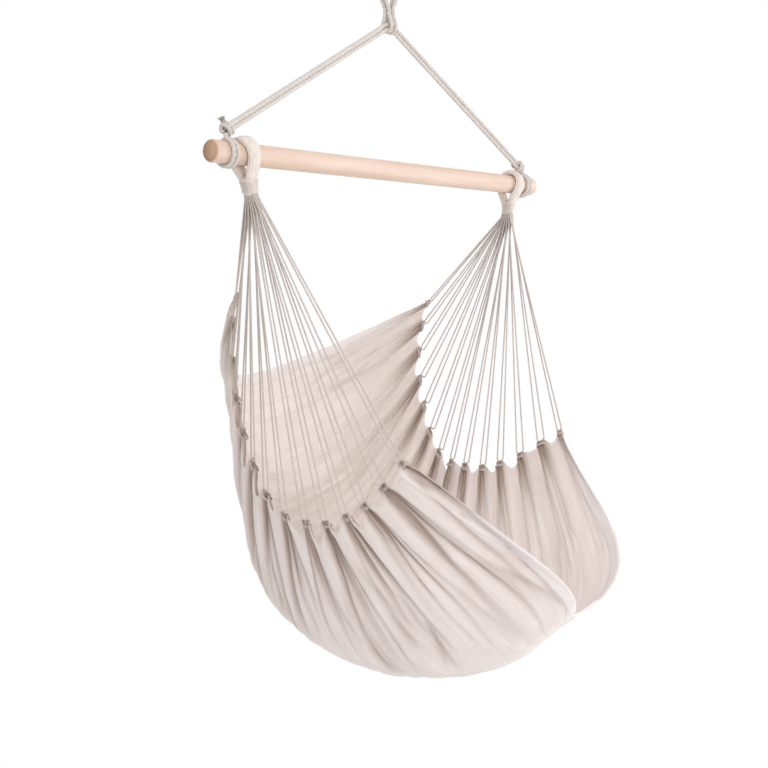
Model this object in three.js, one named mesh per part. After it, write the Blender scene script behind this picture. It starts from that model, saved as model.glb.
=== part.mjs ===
// Hammock chair: a cotton seat held by two fans of cords under a wooden spreader bar, which hangs on
// a doubled rope from one loop. Millimetres. +X is the way the sitter faces, +Y is the sitter's left
// and +Z is up. The origin is the point where a hook carries the hanging loop.
import * as THREE from "three";

// Clearances: touching pieces stand this far apart.
const seatGap = 0.3;
const windingGap = 0.6;
const rimGap = 0.5;

// Spreader bar
const barLength = 1000;
const barDiameter = 38;
const barEdgeRound = 5;
const barSides = 32;
const barRoundSteps = 3;

// Suspension rope, doubled from the hanging loop down to each end of the bar
const ropeDiameter = 8.4;
const ropeSides = 8;
const strandSpacing = 8.8;
const forkHeight = 284;
const hitchInset = 42;

// Hanging loop, from the hook down to the point where the legs part
const loopDrop = 106;
const loopHalfWidth = 20;
const loopRiseShares = [0, 0.08, 0.36, 0.62];
const loopWidthShares = [0.3, 0.3, 0.82, 1];
const loopArcSteps = 10;

// Apex knot under the hanging loop: a barrel with a round lower end that the legs swing on
const apexDiameter = 28;
const apexHeight = 24;
const apexEdgeRound = 3;
const apexSides = 20;
const apexRoundSteps = 5;

// Hitches round the bar, with the knot above and its cut tail
const hitchPitch = 9.2;
const hitchTurns = 2;
const hitchOpenAngle = 40;
const hitchStepsPerTurn = 24;
const hitchSides = 6;
const knotDiameter = 22;
const tailLength = 14;
const rightTailWay = new THREE.Vector3(-0.1, -0.45, 1);
const leftTailWay = new THREE.Vector3(-1, 0.3, 0.5);

// Clew: the served eye over the bar and the whipping that binds the cords under it
const clewInset = 82;
const clewLean = 12;
const eyeDiameter = 16;
const eyeGap = 1;
const eyeSides = 10;
const eyeArcSteps = 16;
const eyeDrop = 44;
const eyeLegRun = 5;
const whippingHeight = 22;
const whippingTopWidth = 33;
const whippingFootWidth = 26;
const whippingThicknessShare = 0.85;
const whippingEdgeRound = 2;
const whippingSides = 20;

// Clew cords: each is one length, folded round its gather, with both ends in the whipping
const cordDiameter = 3;
const cordSides = 8;
const cordSpacing = 3.5;
const cordRun = 8;
const cordsPerSide = 14;
const cordBendSteps = 4;
const cordBendShare = 0.55;
const cordFoldFillShare = 0.9;

// Seat cloth
const seatReach = 400;
const seatDrop = 980;
const frontHalfSpread = 266;
const backHalfSpread = 306;
const clothThickness = 3;
const foldDepth = 17;
const foldPower = 1.5;
const valleyDepth = 7;
const scallopShare = 0.042;
const columnShares = [0.2, 0.4, 0.58, 0.74, 0.88, 1];

// At each gather the cloth's edge is bunched into a finger, and its cord is folded over the finger's
// top: half the finger's width as a share of the way to the next gather.
const fingerHalfShare = 0.16;
const endFingerHalfShare = 0.1;

// Where each gather lies, from the front corner to the back corner: shares of seatReach forward of
// the bar and of seatDrop below it. The left side is drawn up a little higher than the right.
const rightGatherShares = [
  [0.518, 0.544], [0.403, 0.592], [0.303, 0.627], [0.203, 0.649], [0.09, 0.664],
  [-0.018, 0.665], [-0.14, 0.655], [-0.243, 0.617], [-0.313, 0.561], [-0.37, 0.5],
  [-0.403, 0.433], [-0.405, 0.362], [-0.383, 0.293], [-0.35, 0.237],
];
const leftGatherShares = [
  [0.525, 0.534], [0.395, 0.56], [0.26, 0.588], [0.128, 0.608], [0.013, 0.619],
  [-0.103, 0.617], [-0.2, 0.61], [-0.28, 0.591], [-0.343, 0.547], [-0.385, 0.489],
  [-0.415, 0.431], [-0.423, 0.369], [-0.403, 0.31], [-0.363, 0.254],
];

// The seat's lowest line, from the middle of the front hem to the middle of the back hem:
// shares of seatReach forward, of seatReach to the left, and of seatDrop down.
const keelShares = [
  [1.01, -0.05, 0.844], [0.568, -0.072, 0.971], [-0.023, -0.09, 0.997],
  [-0.578, -0.11, 0.893], [-0.735, -0.13, 0.661], [-0.885, -0.15, 0.406],
];

// How the cloth climbs from that line to its side edges, at the front hem, the middle and the back
// hem: the power of the share of the way out, for the forward place and for the height.
const rightForwardPowerShares = [2.9, 2.8, 2.2];
const rightHeightPowerShares = [1.53, 2.9, 2.5];
const leftForwardPowerShares = [2.25, 1.8, 1.4];
const leftHeightPowerShares = [1.47, 2.6, 1.4];

// The front hem's two cheeks stand forward of its middle by this much.
const cheekDepth = 52;
const cheekSpanShare = 0.35;

// Colours
const woodColour = 0xecd2b4;
const ropeColour = 0xd9d3c9;
const eyeColour = 0xe9e0d8;
const cordColour = 0xdcd2c8;
const clothColour = 0xe9e1da;

// Worked-out sizes
const barRadius = barDiameter / 2;
const ropeRadius = ropeDiameter / 2;
const cordRadius = cordDiameter / 2;
const eyeRadius = eyeDiameter / 2;
const knotRadius = knotDiameter / 2;
const apexRadius = apexDiameter / 2;
const halfTurn = Math.PI;
const hitchPlace = barLength / 2 - hitchInset;
const clewPlace = barLength / 2 - clewInset;
const apexPivot = new THREE.Vector3(0, 0, -loopDrop);
const barCentre = new THREE.Vector3(0, 0, -loopDrop - forkHeight);
const knotHeight = barRadius + windingGap + ropeDiameter + seatGap + knotRadius;

function material(colour, roughness) {
  return new THREE.MeshStandardMaterial({ color: colour, roughness, metalness: 0 });
}

const wood = material(woodColour, 0.55);
const rope = material(ropeColour, 0.9);
const servedEye = material(eyeColour, 0.85);
const cord = material(cordColour, 0.9);
const cloth = material(clothColour, 0.95);

function namedMesh(name, geometry, finish) {
  const mesh = new THREE.Mesh(geometry, finish.clone());
  mesh.name = name;
  return mesh;
}

// A rope's route: every point given is one ring of its tube.
class RopeRoute extends THREE.Curve {
  constructor(points) {
    super();
    this.points = points;
  }

  indexAt(share) {
    return Math.round(share * (this.points.length - 1));
  }

  getPoint(share) {
    return this.points[this.indexAt(share)].clone();
  }

  getPointAt(share) {
    return this.getPoint(share);
  }

  getTangentAt(share) {
    const at = this.indexAt(share);
    const last = this.points.length - 1;
    const here = this.points[at];
    const way = new THREE.Vector3();
    if (at > 0) way.add(here.clone().sub(this.points[at - 1]).normalize());
    if (at < last) way.add(this.points[at + 1].clone().sub(here).normalize());
    return way.normalize();
  }
}

function roundSection(diameter, sides) {
  const corners = [];
  for (let i = 0; i < sides; i += 1) {
    const angle = (2 * halfTurn * i) / sides;
    corners.push(new THREE.Vector2(Math.cos(angle), Math.sin(angle)).multiplyScalar(diameter / 2));
  }
  return new THREE.Shape(corners);
}

function ropeTube(points, diameter, sides) {
  return new THREE.ExtrudeGeometry(roundSection(diameter, sides), {
    steps: points.length - 1,
    curveSegments: 1,
    bevelEnabled: false,
    extrudePath: new RopeRoute(points),
  });
}

// A tube along straight pieces. Each ring is the last one slid along the piece between them, onto the
// plane that halves the next bend, so every wall is flat.
function piecedTube(points, diameter, sides) {
  const ways = points.slice(1).map((point, i) => point.clone().sub(points[i]).normalize());
  const across = new THREE.Vector3(1, 0, 0).cross(ways[0]).normalize();
  const beside = ways[0].clone().cross(across);
  const rings = [roundSection(diameter, sides).getPoints().slice(0, sides).map(
    (corner) => points[0].clone().addScaledVector(across, corner.x).addScaledVector(beside, corner.y),
  )];
  ways.forEach((way, i) => {
    const halving = way.clone().add(ways[i + 1] ?? way).normalize();
    rings.push(rings[i].map((corner) => {
      const reach = points[i + 1].clone().sub(corner).dot(halving) / way.dot(halving);
      return corner.clone().addScaledVector(way, reach);
    }));
  });
  return closedTube(rings);
}

// Joins rings of points into one closed skin with flat ends.
function closedTube(rings) {
  const sides = rings[0].length;
  const last = (rings.length - 1) * sides;
  const faces = [];
  for (let r = 0; r < last; r += sides) {
    for (let k = 0; k < sides; k += 1) {
      const next = (k + 1) % sides;
      faces.push(r + k, r + next, r + sides + next, r + k, r + sides + next, r + sides + k);
    }
  }
  for (let k = 1; k < sides - 1; k += 1) faces.push(0, k + 1, k, last, last + k, last + k + 1);
  const geometry = new THREE.BufferGeometry();
  const positions = rings.flat().flatMap((point) => point.toArray());
  geometry.setAttribute("position", new THREE.Float32BufferAttribute(positions, 3));
  geometry.setIndex(faces);
  geometry.computeVertexNormals();
  return geometry;
}

// The smallest distance between turns of a winding, wall to wall.
function leastGapToItself(points, diameter) {
  const turn = hitchStepsPerTurn / 2;
  let least = Infinity;
  points.forEach((point, i) => {
    points.slice(i + turn).forEach((other) => {
      least = Math.min(least, point.distanceTo(other) - diameter);
    });
  });
  return least;
}

// A turned solid round Y, from its lower end to its upper end: each ring is [radius, height].
function turned(rings, sides) {
  return new THREE.LatheGeometry(rings.map(([radius, height]) => new THREE.Vector2(radius, height)), sides);
}

function quarterRound(centreRadius, centreHeight, round, fromAngle, steps) {
  const rings = [];
  for (let i = 0; i <= steps; i += 1) {
    const angle = fromAngle + (halfTurn / 2) * (i / steps);
    rings.push([centreRadius + round * Math.cos(angle), centreHeight + round * Math.sin(angle)]);
  }
  return rings;
}

function spreaderBar() {
  const radius = barRadius - barEdgeRound;
  const reach = barLength / 2 - barEdgeRound;
  const rings = [
    [0, -barLength / 2],
    ...quarterRound(radius, -reach, barEdgeRound, -halfTurn / 2, barRoundSteps),
    ...quarterRound(radius, reach, barEdgeRound, 0, barRoundSteps),
    [0, barLength / 2],
  ];
  const mesh = namedMesh("spreader_bar", turned(rings, barSides), wood);
  mesh.position.copy(barCentre);
  return mesh;
}

// One of the two ropes of the hanging loop: up from the apex knot, over the hook and down again.
function hangingLoopRope(name, side) {
  const foot = apexPivot.z + apexHeight + seatGap;
  const top = ropeRadius - loopHalfWidth;
  const up = loopRiseShares.map(
    (share, i) => new THREE.Vector3(0, loopHalfWidth * loopWidthShares[i], foot + (top - foot) * share),
  );
  const over = [];
  for (let i = 0; i <= loopArcSteps; i += 1) {
    const angle = (halfTurn * i) / loopArcSteps;
    over.push(new THREE.Vector3(0, Math.cos(angle), Math.sin(angle)).multiplyScalar(loopHalfWidth));
  }
  over.forEach((point) => point.setZ(point.z + top));
  const down = up.map((point) => new THREE.Vector3(0, -point.y, point.z)).reverse();
  const mesh = namedMesh(name, ropeTube([...up, ...over, ...down], ropeDiameter, ropeSides), rope);
  mesh.position.x = (side * strandSpacing) / 2;
  return mesh;
}

function apexKnot() {
  const rings = [
    ...quarterRound(0, 0, apexRadius, -halfTurn / 2, apexRoundSteps),
    ...quarterRound(apexRadius - apexEdgeRound, apexHeight - apexEdgeRound, apexEdgeRound, 0, barRoundSteps),
    [0, apexHeight],
  ];
  rings[0][0] = 0;
  const mesh = namedMesh("apex_knot", turned(rings, apexSides), rope);
  mesh.rotation.x = halfTurn / 2;
  mesh.position.copy(apexPivot);
  return mesh;
}

function knotCentre(side) {
  return barCentre.clone().add(new THREE.Vector3(0, side * hitchPlace, knotHeight));
}

// One straight strand of a leg, from the round end of the apex knot to the knot on the bar.
function legStrand(name, side, place) {
  const foot = knotCentre(side);
  const way = foot.clone().sub(apexPivot).normalize();
  const across = new THREE.Vector3(1, 0, 0).cross(way).multiplyScalar((side * place * strandSpacing) / 2);
  const start = apexPivot.clone().addScaledVector(way, apexRadius + seatGap).add(across);
  const end = foot.addScaledVector(way, -knotRadius - seatGap).add(across);
  return namedMesh(name, ropeTube([start, end], ropeDiameter, ropeSides), rope);
}

function hitchRoute(side) {
  const radius = barRadius + windingGap + ropeRadius;
  const open = (hitchOpenAngle / 360) * 2 * halfTurn;
  const sweep = hitchTurns * 2 * halfTurn - open;
  const steps = Math.round(hitchTurns * hitchStepsPerTurn);
  const points = [];
  for (let i = 0; i <= steps; i += 1) {
    const share = i / steps;
    const angle = halfTurn / 2 - open / 2 - sweep * share;
    const along = hitchPitch * hitchTurns * (share - 1 / 2);
    points.push(new THREE.Vector3(radius * Math.cos(angle), -side * along, radius * Math.sin(angle)));
  }
  return points;
}

function barHitch(name, side) {
  const points = hitchRoute(side);
  console.log(name, "least gap to itself", leastGapToItself(points, ropeDiameter).toFixed(2), "mm");
  const mesh = namedMesh(name, ropeTube(points, ropeDiameter, hitchSides), rope);
  mesh.position.copy(barCentre).setY(side * hitchPlace);
  return mesh;
}

function hitchKnot(name, side) {
  const mesh = namedMesh(name, new THREE.SphereGeometry(knotRadius, ropeSides * 2, ropeSides), rope);
  mesh.position.copy(knotCentre(side));
  return mesh;
}

function hitchTail(name, side, tailWay) {
  const way = tailWay.clone().normalize();
  const start = knotCentre(side).addScaledVector(way, knotRadius + seatGap);
  const end = start.clone().addScaledVector(way, tailLength);
  return namedMesh(name, ropeTube([start, end], ropeDiameter, ropeSides), rope);
}

// Half of the eye's route, from its foot up to the point where it lies on its arc over the bar.
function eyeTangentAngle(radius, footX, footZ) {
  return Math.atan2(footZ, footX) + Math.acos(radius / Math.hypot(footX, footZ));
}

function clewEye(name) {
  const radius = barRadius + eyeGap + eyeRadius;
  const footX = eyeRadius + seatGap;
  const start = eyeTangentAngle(radius, footX, -eyeDrop + eyeLegRun);
  const points = [new THREE.Vector3(footX, 0, -eyeDrop), new THREE.Vector3(footX, 0, -eyeDrop + eyeLegRun)];
  for (let i = 0; i <= eyeArcSteps; i += 1) {
    const angle = start + (halfTurn - 2 * start) * (i / eyeArcSteps);
    points.push(new THREE.Vector3(radius * Math.cos(angle), 0, radius * Math.sin(angle)));
  }
  points.push(new THREE.Vector3(-footX, 0, -eyeDrop + eyeLegRun), new THREE.Vector3(-footX, 0, -eyeDrop));
  return namedMesh(name, ropeTube(points, eyeDiameter, eyeSides), servedEye);
}

function clewWhipping(name) {
  const foot = whippingFootWidth / 2 - whippingEdgeRound;
  const top = whippingTopWidth / 2 - whippingEdgeRound;
  const rings = [
    [0, 0],
    ...quarterRound(foot, whippingEdgeRound, whippingEdgeRound, -halfTurn / 2, barRoundSteps),
    ...quarterRound(top, whippingHeight - whippingEdgeRound, whippingEdgeRound, 0, barRoundSteps),
    [0, whippingHeight],
  ];
  const mesh = namedMesh(name, turned(rings, whippingSides), servedEye);
  mesh.rotation.x = halfTurn / 2;
  mesh.scale.z = whippingThicknessShare;
  mesh.position.z = whippingFootHeight;
  return mesh;
}

const whippingFootHeight = -eyeDrop - seatGap - whippingHeight;

// The eye and the whipping lean inwards together, about the bar's axis.
function clewGroup(side, sideName) {
  const group = new THREE.Group();
  group.add(clewEye("clew_eye_" + sideName), clewWhipping("clew_whipping_" + sideName));
  group.position.copy(barCentre).setY(side * clewPlace);
  group.rotation.x = -side * THREE.MathUtils.degToRad(clewLean);
  group.updateMatrixWorld(true);
  return group;
}

function gatherPoints(side) {
  const shares = side < 0 ? rightGatherShares : leftGatherShares;
  return shares.map(([forward, drop], i) => {
    const spread = frontHalfSpread + (backHalfSpread - frontHalfSpread) * (i / (cordsPerSide - 1));
    return new THREE.Vector3(seatReach * forward, side * spread, barCentre.z - seatDrop * drop);
  });
}

const sideEdges = new Map(
  [-1, 1].map((side) => [side, new THREE.CatmullRomCurve3(gatherPoints(side), false, "catmullrom")]),
);

// How fast a cord runs inwards on its way down from the whipping to its gather.
function inwardSlope(clew, side, index) {
  const neck = clew.localToWorld(new THREE.Vector3(0, 0, whippingFootHeight));
  const way = gatherPoints(side)[index].sub(neck).normalize();
  return -side * way.y;
}

// Where a strand leaves the whipping: seven columns along X with two cords in each, of which the one
// that runs inwards faster has the inner place, so that no cord crosses another.
function strandStart(clew, side, index, strand, below) {
  const partner = index % 2 === 0 ? index + 1 : index - 1;
  const inner = inwardSlope(clew, side, index) > inwardSlope(clew, side, partner);
  const column = (cordsPerSide / 2 - 1) / 2 - Math.floor(index / 2);
  const row = side * ((inner ? 0 : 2) + strand - 3 / 2);
  const place = new THREE.Vector3(column * cordSpacing, row * cordSpacing, whippingFootHeight - below);
  return clew.localToWorld(place);
}

function edgePoint(side, place) {
  return sideEdges.get(side).getPoint(place / (cordsPerSide - 1));
}

function fingerHalf(index) {
  return index === 0 || index === cordsPerSide - 1 ? endFingerHalfShare : fingerHalfShare;
}

// The middle of a finger along the side edge, counted in gathers from the front corner. The first
// and the last finger stand wholly inside the corners.
function fingerPlace(index) {
  return Math.min(Math.max(index, endFingerHalfShare), cordsPerSide - 1 - endFingerHalfShare);
}

// The way the cords pull the cloth's edge at a place, turned square to the edge there.
function pullWay(clew, side, place) {
  const neck = clew.localToWorld(new THREE.Vector3(0, 0, whippingFootHeight));
  const front = edgePoint(side, Math.max(0, place - endFingerHalfShare));
  const back = edgePoint(side, Math.min(cordsPerSide - 1, place + endFingerHalfShare));
  const along = back.sub(front).normalize();
  const down = edgePoint(side, place).sub(neck);
  return down.addScaledVector(along, -down.dot(along)).normalize();
}

// The turn between two straight pieces at a corner, and the ways into it and out of it.
function cornerTurn(before, corner, after) {
  const wayIn = corner.clone().sub(before).normalize();
  const wayOut = after.clone().sub(corner).normalize();
  return { wayIn, wayOut, turn: wayIn.angleTo(wayOut) };
}

// Points on the round bend that takes a corner's place.
function roundBend(corner, { wayIn, wayOut, turn }, radius) {
  const inward = wayOut.clone().sub(wayIn).normalize();
  const centre = corner.clone().addScaledVector(inward, radius / Math.cos(turn / 2));
  const start = corner.clone().addScaledVector(wayIn, -radius * Math.tan(turn / 2));
  const spoke = start.sub(centre);
  const points = [];
  for (let i = 0; i <= cordBendSteps; i += 1) {
    const angle = (turn * i) / cordBendSteps;
    const point = centre.clone().addScaledVector(spoke, Math.cos(angle));
    points.push(point.addScaledVector(wayIn, radius * Math.sin(angle)));
  }
  return points;
}

// Which strand of a cord stands in which row of the whipping: the order in which they reach the fold,
// so that the two don't cross on the way.
function strandOrder(starts, front, back) {
  const way = front.clone().add(back).sub(starts[0]).sub(starts[1]).normalize();
  const ends = front.clone().sub(back);
  ends.addScaledVector(way, -ends.dot(way));
  return starts[0].clone().sub(starts[1]).dot(ends) < 0 ? [1, 0] : [0, 1];
}

// A clew cord: straight down from the whipping, over the top of its finger with a round bend at each
// side of it, and straight back up.
function clewCord(name, clew, side, index) {
  const front = edgePoint(side, fingerPlace(index) - fingerHalf(index));
  const back = edgePoint(side, fingerPlace(index) + fingerHalf(index));
  const strandsAt = (below) => (strand) => strandStart(clew, side, index, strand, seatGap + below);
  const order = strandOrder([0, 1].map(strandsAt(0)), front, back);
  const starts = order.map(strandsAt(0));
  const tops = order.map(strandsAt(cordRun));
  const foldWidth = front.distanceTo(back);
  const first = cornerTurn(tops[0], front, back);
  const second = cornerTurn(front, back, tops[1]);
  const room = (foldWidth * cordFoldFillShare) / (Math.tan(first.turn / 2) + Math.tan(second.turn / 2));
  const radius = Math.min((foldWidth / 2) * cordBendShare, room);
  const points = [
    starts[0], tops[0],
    ...roundBend(front, first, radius), ...roundBend(back, second, radius),
    tops[1], starts[1],
  ];
  return namedMesh(name, piecedTube(points, cordDiameter, cordSides), cord);
}

function clewCords(clew, side, sideName) {
  const cords = [];
  for (let i = 0; i < cordsPerSide; i += 1) {
    const number = String(i + 1).padStart(2, "0");
    cords.push(clewCord("clew_cord_" + sideName + "_" + number, clew, side, i));
  }
  return cords;
}

// A value that runs through three shares: at the front hem, in the middle and at the back hem.
function throughThree([front, middle, back], along) {
  return along < 1 / 2
    ? front + (middle - front) * 2 * along
    : middle + (back - middle) * (2 * along - 1);
}

const keel = new THREE.CatmullRomCurve3(
  keelShares.map(([forward, left, drop]) =>
    new THREE.Vector3(seatReach * forward, seatReach * left, barCentre.z - seatDrop * drop)),
  false,
  "catmullrom",
);

// How far the cloth's rim lies below the middle of the cord on top of it.
const edgeStandOff = cordRadius + rimGap;

// The cheek's profile over the share of the way out: none at the middle or the edge, full between.
function cheekShape(out) {
  const fullest = 2 / 5;
  const peak = fullest ** 2 * (1 - fullest) ** 3;
  return (out ** 2 * (1 - out) ** 3) / peak;
}

// A point of the smooth seat: place runs from the front hem to the back hem, counted in gathers, and
// across from the right edge, -1, to the left edge, 1. The edge is pulled as it is at the place pull.
function smoothSeat(clews, place, across, pull) {
  const side = across < 0 ? -1 : 1;
  const out = Math.abs(across);
  const along = place / (cordsPerSide - 1);
  const low = keel.getPoint(along);
  const edge = edgePoint(side, place).addScaledVector(pullWay(clews.get(side), side, pull), edgeStandOff);
  const forwardPowers = side < 0 ? rightForwardPowerShares : leftForwardPowerShares;
  const heightPowers = side < 0 ? rightHeightPowerShares : leftHeightPowerShares;
  const forwardShare = out ** throughThree(forwardPowers, along);
  const heightShare = out ** throughThree(heightPowers, along);
  const cheek = cheekDepth * Math.max(0, 1 - along / cheekSpanShare) ** 2 * cheekShape(out);
  return new THREE.Vector3(
    low.x + (edge.x - low.x) * forwardShare + cheek,
    low.y + (edge.y - low.y) * out,
    low.z + (edge.z - low.z) * heightShare,
  );
}

function seatNormal(clews, place, across, pull) {
  const step = endFingerHalfShare;
  const p0 = Math.max(0, place - step);
  const p1 = Math.min(cordsPerSide - 1, place + step);
  const c0 = Math.max(-1, across - step);
  const c1 = Math.min(1, across + step);
  const alongWay = smoothSeat(clews, p1, across, pull).sub(smoothSeat(clews, p0, across, pull));
  const acrossWay = smoothSeat(clews, place, c1, pull).sub(smoothSeat(clews, place, c0, pull));
  return alongWay.cross(acrossWay).normalize();
}

// The rows of the seat from the front hem to the back hem: the two edges of each finger, and one
// row between neighbouring fingers.
function seatRows() {
  const rows = [];
  for (let i = 0; i < cordsPerSide; i += 1) {
    const pull = fingerPlace(i);
    const front = pull - fingerHalf(i);
    if (i > 0) {
      const place = (rows.at(-1).place + front) / 2;
      rows.push({ place, pull: place, between: true });
    }
    rows.push({ place: front, pull, between: false });
    rows.push({ place: pull + fingerHalf(i), pull, between: false });
  }
  return rows;
}

// The folded seat: each finger's edge stands high, with a valley below it, and between two fingers
// the edge drops and the cloth stands out. The folds die away towards the seat's lowest line.
function foldedSeat(clews, { place, pull, between }, acrossShare) {
  const across = acrossShare * (between ? 1 - scallopShare : 1);
  const out = Math.abs(across);
  const valleyPeak = (2 / 3) ** 2 / 3;
  const depth = between ? foldDepth * out ** foldPower : (-valleyDepth * out ** 2 * (1 - out)) / valleyPeak;
  const normal = seatNormal(clews, place, across, pull);
  const middle = smoothSeat(clews, place, across, pull).addScaledVector(normal, depth);
  return { middle, normal };
}

// Joins two grids of points and the rim between them into one closed skin.
function closedSheet(outer, inner) {
  const rows = outer.length;
  const columns = outer[0].length;
  const positions = [...outer.flat(), ...inner.flat()].flatMap((point) => point.toArray());
  const at = (layer, row, column) => layer * rows * columns + row * columns + column;
  const faces = [];
  const quad = (a, b, c, d) => faces.push(a, b, c, a, c, d);
  for (let r = 0; r < rows - 1; r += 1) {
    for (let c = 0; c < columns - 1; c += 1) {
      quad(at(0, r, c), at(0, r + 1, c), at(0, r + 1, c + 1), at(0, r, c + 1));
      quad(at(1, r, c), at(1, r, c + 1), at(1, r + 1, c + 1), at(1, r + 1, c));
    }
  }
  const last = columns - 1;
  for (let r = 0; r < rows - 1; r += 1) {
    quad(at(0, r + 1, 0), at(0, r, 0), at(1, r, 0), at(1, r + 1, 0));
    quad(at(0, r, last), at(0, r + 1, last), at(1, r + 1, last), at(1, r, last));
  }
  for (let c = 0; c < last; c += 1) {
    quad(at(0, 0, c), at(0, 0, c + 1), at(1, 0, c + 1), at(1, 0, c));
    quad(at(0, rows - 1, c + 1), at(0, rows - 1, c), at(1, rows - 1, c), at(1, rows - 1, c + 1));
  }
  const geometry = new THREE.BufferGeometry();
  geometry.setAttribute("position", new THREE.Float32BufferAttribute(positions, 3));
  geometry.setIndex(faces);
  geometry.computeVertexNormals();
  return geometry;
}

function seatCloth(clews) {
  const acrossShares = [...columnShares.map((share) => -share).reverse(), 0, ...columnShares];
  const outer = [];
  const inner = [];
  seatRows().forEach((row) => {
    const points = acrossShares.map((share) => foldedSeat(clews, row, share));
    const half = clothThickness / 2;
    outer.push(points.map(({ middle, normal }) => middle.clone().addScaledVector(normal, half)));
    inner.push(points.map(({ middle, normal }) => middle.clone().addScaledVector(normal, -half)));
  });
  return namedMesh("seat_cloth", closedSheet(outer, inner), cloth);
}

const chair = new THREE.Group();
chair.add(hangingLoopRope("hanging_loop_front", 1), hangingLoopRope("hanging_loop_back", -1), apexKnot());
chair.add(spreaderBar());

const clews = new Map();
[[-1, "right", rightTailWay], [1, "left", leftTailWay]].forEach(([side, sideName, tailWay]) => {
  chair.add(legStrand("leg_strand_upper_" + sideName, side, 1));
  chair.add(legStrand("leg_strand_lower_" + sideName, side, -1));
  chair.add(barHitch("bar_hitch_" + sideName, side));
  chair.add(hitchKnot("hitch_knot_" + sideName, side));
  chair.add(hitchTail("hitch_tail_" + sideName, side, tailWay));
  const clew = clewGroup(side, sideName);
  clews.set(side, clew);
  chair.add(clew, ...clewCords(clew, side, sideName));
});
chair.add(seatCloth(clews));

export default chair;
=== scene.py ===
# %% [markdown]
# # A hammock chair in Blender
#
# The chair is a cotton cloth, gathered along both sides, that hangs from two fans of thin cords. Each
# fan ends in an eye over a wooden spreader bar, and a doubled rope carries the bar. The sizes and the
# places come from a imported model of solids, called the frame, which is loaded first and never changed.
# Every cell below makes one piece or one finish, in the frame's own axes: metres, +X the way the
# sitter faces, +Y the sitter's left and +Z up, with the origin where a hook carries the loop.

# %% The frame
import math

import bpy
import numpy as np
from mathutils import Matrix, Vector


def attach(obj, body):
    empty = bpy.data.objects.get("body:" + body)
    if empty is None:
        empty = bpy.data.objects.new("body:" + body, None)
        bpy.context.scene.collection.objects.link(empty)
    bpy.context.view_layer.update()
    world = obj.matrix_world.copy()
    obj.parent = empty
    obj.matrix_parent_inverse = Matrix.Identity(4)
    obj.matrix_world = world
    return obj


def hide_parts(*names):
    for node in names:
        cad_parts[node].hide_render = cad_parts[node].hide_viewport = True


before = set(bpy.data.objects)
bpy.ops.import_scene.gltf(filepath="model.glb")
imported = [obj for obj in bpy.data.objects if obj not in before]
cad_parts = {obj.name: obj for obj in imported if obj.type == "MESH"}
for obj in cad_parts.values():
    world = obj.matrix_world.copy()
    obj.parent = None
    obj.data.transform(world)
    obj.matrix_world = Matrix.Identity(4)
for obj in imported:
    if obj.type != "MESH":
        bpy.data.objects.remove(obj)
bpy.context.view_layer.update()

bpy.ops.object.select_all(action="DESELECT")

# %% [markdown]
# ## The camera
#
# The camera comes first, because the cords are judged against its view. It stands in front of the
# chair's right side, a little above its middle. Its angle, its distance and its lens were fitted to
# the bar's two ends, the rope's fork and the rows of gathers. The lens is given in pixels of a
# 768 pixel image, which makes it easy to work out where any point of the chair falls.

# %% Camera at the photograph's angle
mm = 0.001
image_size = 768
lens_in_pixels = 1358
sensor_width = 36
camera_azimuth = math.radians(38.5)
camera_elevation = math.radians(2.61)
camera_roll = math.radians(-1.58)
bar_depth = 2.666
bar_middle_pixel = (393.3, 171.3)
bar_middle = Vector((0, 0, -390 * mm))


def camera_axes():
    """The camera's right, up and forward directions."""
    a, p, r = camera_azimuth, camera_elevation, camera_roll
    forward = -Vector((math.sin(a) * math.cos(p), -math.cos(a) * math.cos(p), math.sin(p)))
    right = forward.cross(Vector((0, 0, 1))).normalized()
    up = right.cross(forward)
    return right * math.cos(r) + up * math.sin(r), up * math.cos(r) - right * math.sin(r), forward


def add_camera():
    right, up, forward = camera_axes()
    across = (bar_middle_pixel[0] - image_size / 2) / lens_in_pixels * bar_depth
    down = (bar_middle_pixel[1] - image_size / 2) / lens_in_pixels * bar_depth
    place = bar_middle - forward * bar_depth - right * across + up * down
    lens = bpy.data.cameras.new("camera")
    lens.sensor_width = sensor_width
    lens.lens = lens_in_pixels * sensor_width / image_size
    camera = bpy.data.objects.new("camera", lens)
    turn = Matrix((right, up, -forward)).transposed()
    camera.matrix_world = Matrix.Translation(place) @ turn.to_4x4()
    bpy.context.scene.collection.objects.link(camera)
    bpy.context.scene.camera = camera
    return camera


camera = add_camera()
print("camera at", [round(x, 3) for x in camera.location])

# %% [markdown]
# ## Ropes as meshes
#
# A laid rope is three strands twisted together. It could be a curve with a round bevel, but the
# grooves between the strands are what makes a rope look like one. So each rope here is a tube whose
# section has three lobes, and the section turns as it runs along the rope. The section is carried
# along the route without any twist of its own, and the lay is then added to it. The rope's own
# coordinates, turns round it and metres along it, are kept as a UV map for the finish.

# %% Routes
both_sides = ((-1, "right"), (1, "left"))


def unit(vectors):
    vectors = np.asarray(vectors, float)
    return vectors / np.linalg.norm(vectors, axis=-1, keepdims=True)


def route_lengths(points):
    """The distance along the route of each of its points."""
    return np.r_[0, np.cumsum(np.linalg.norm(np.diff(points, axis=0), axis=1))]


def from_ends(lengths):
    """How far each point of a route is from the nearer of its two ends."""
    return np.minimum(lengths, lengths[-1] - lengths)


def route_ways(points):
    """The way the route runs at each of its points."""
    return unit(np.gradient(points, axis=0))


def read_along(places, lengths, values):
    """Vectors that are known at some lengths along a route, read off at other places on it."""
    return np.stack([np.interp(places, lengths, values[:, k]) for k in range(3)], axis=1)


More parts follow.
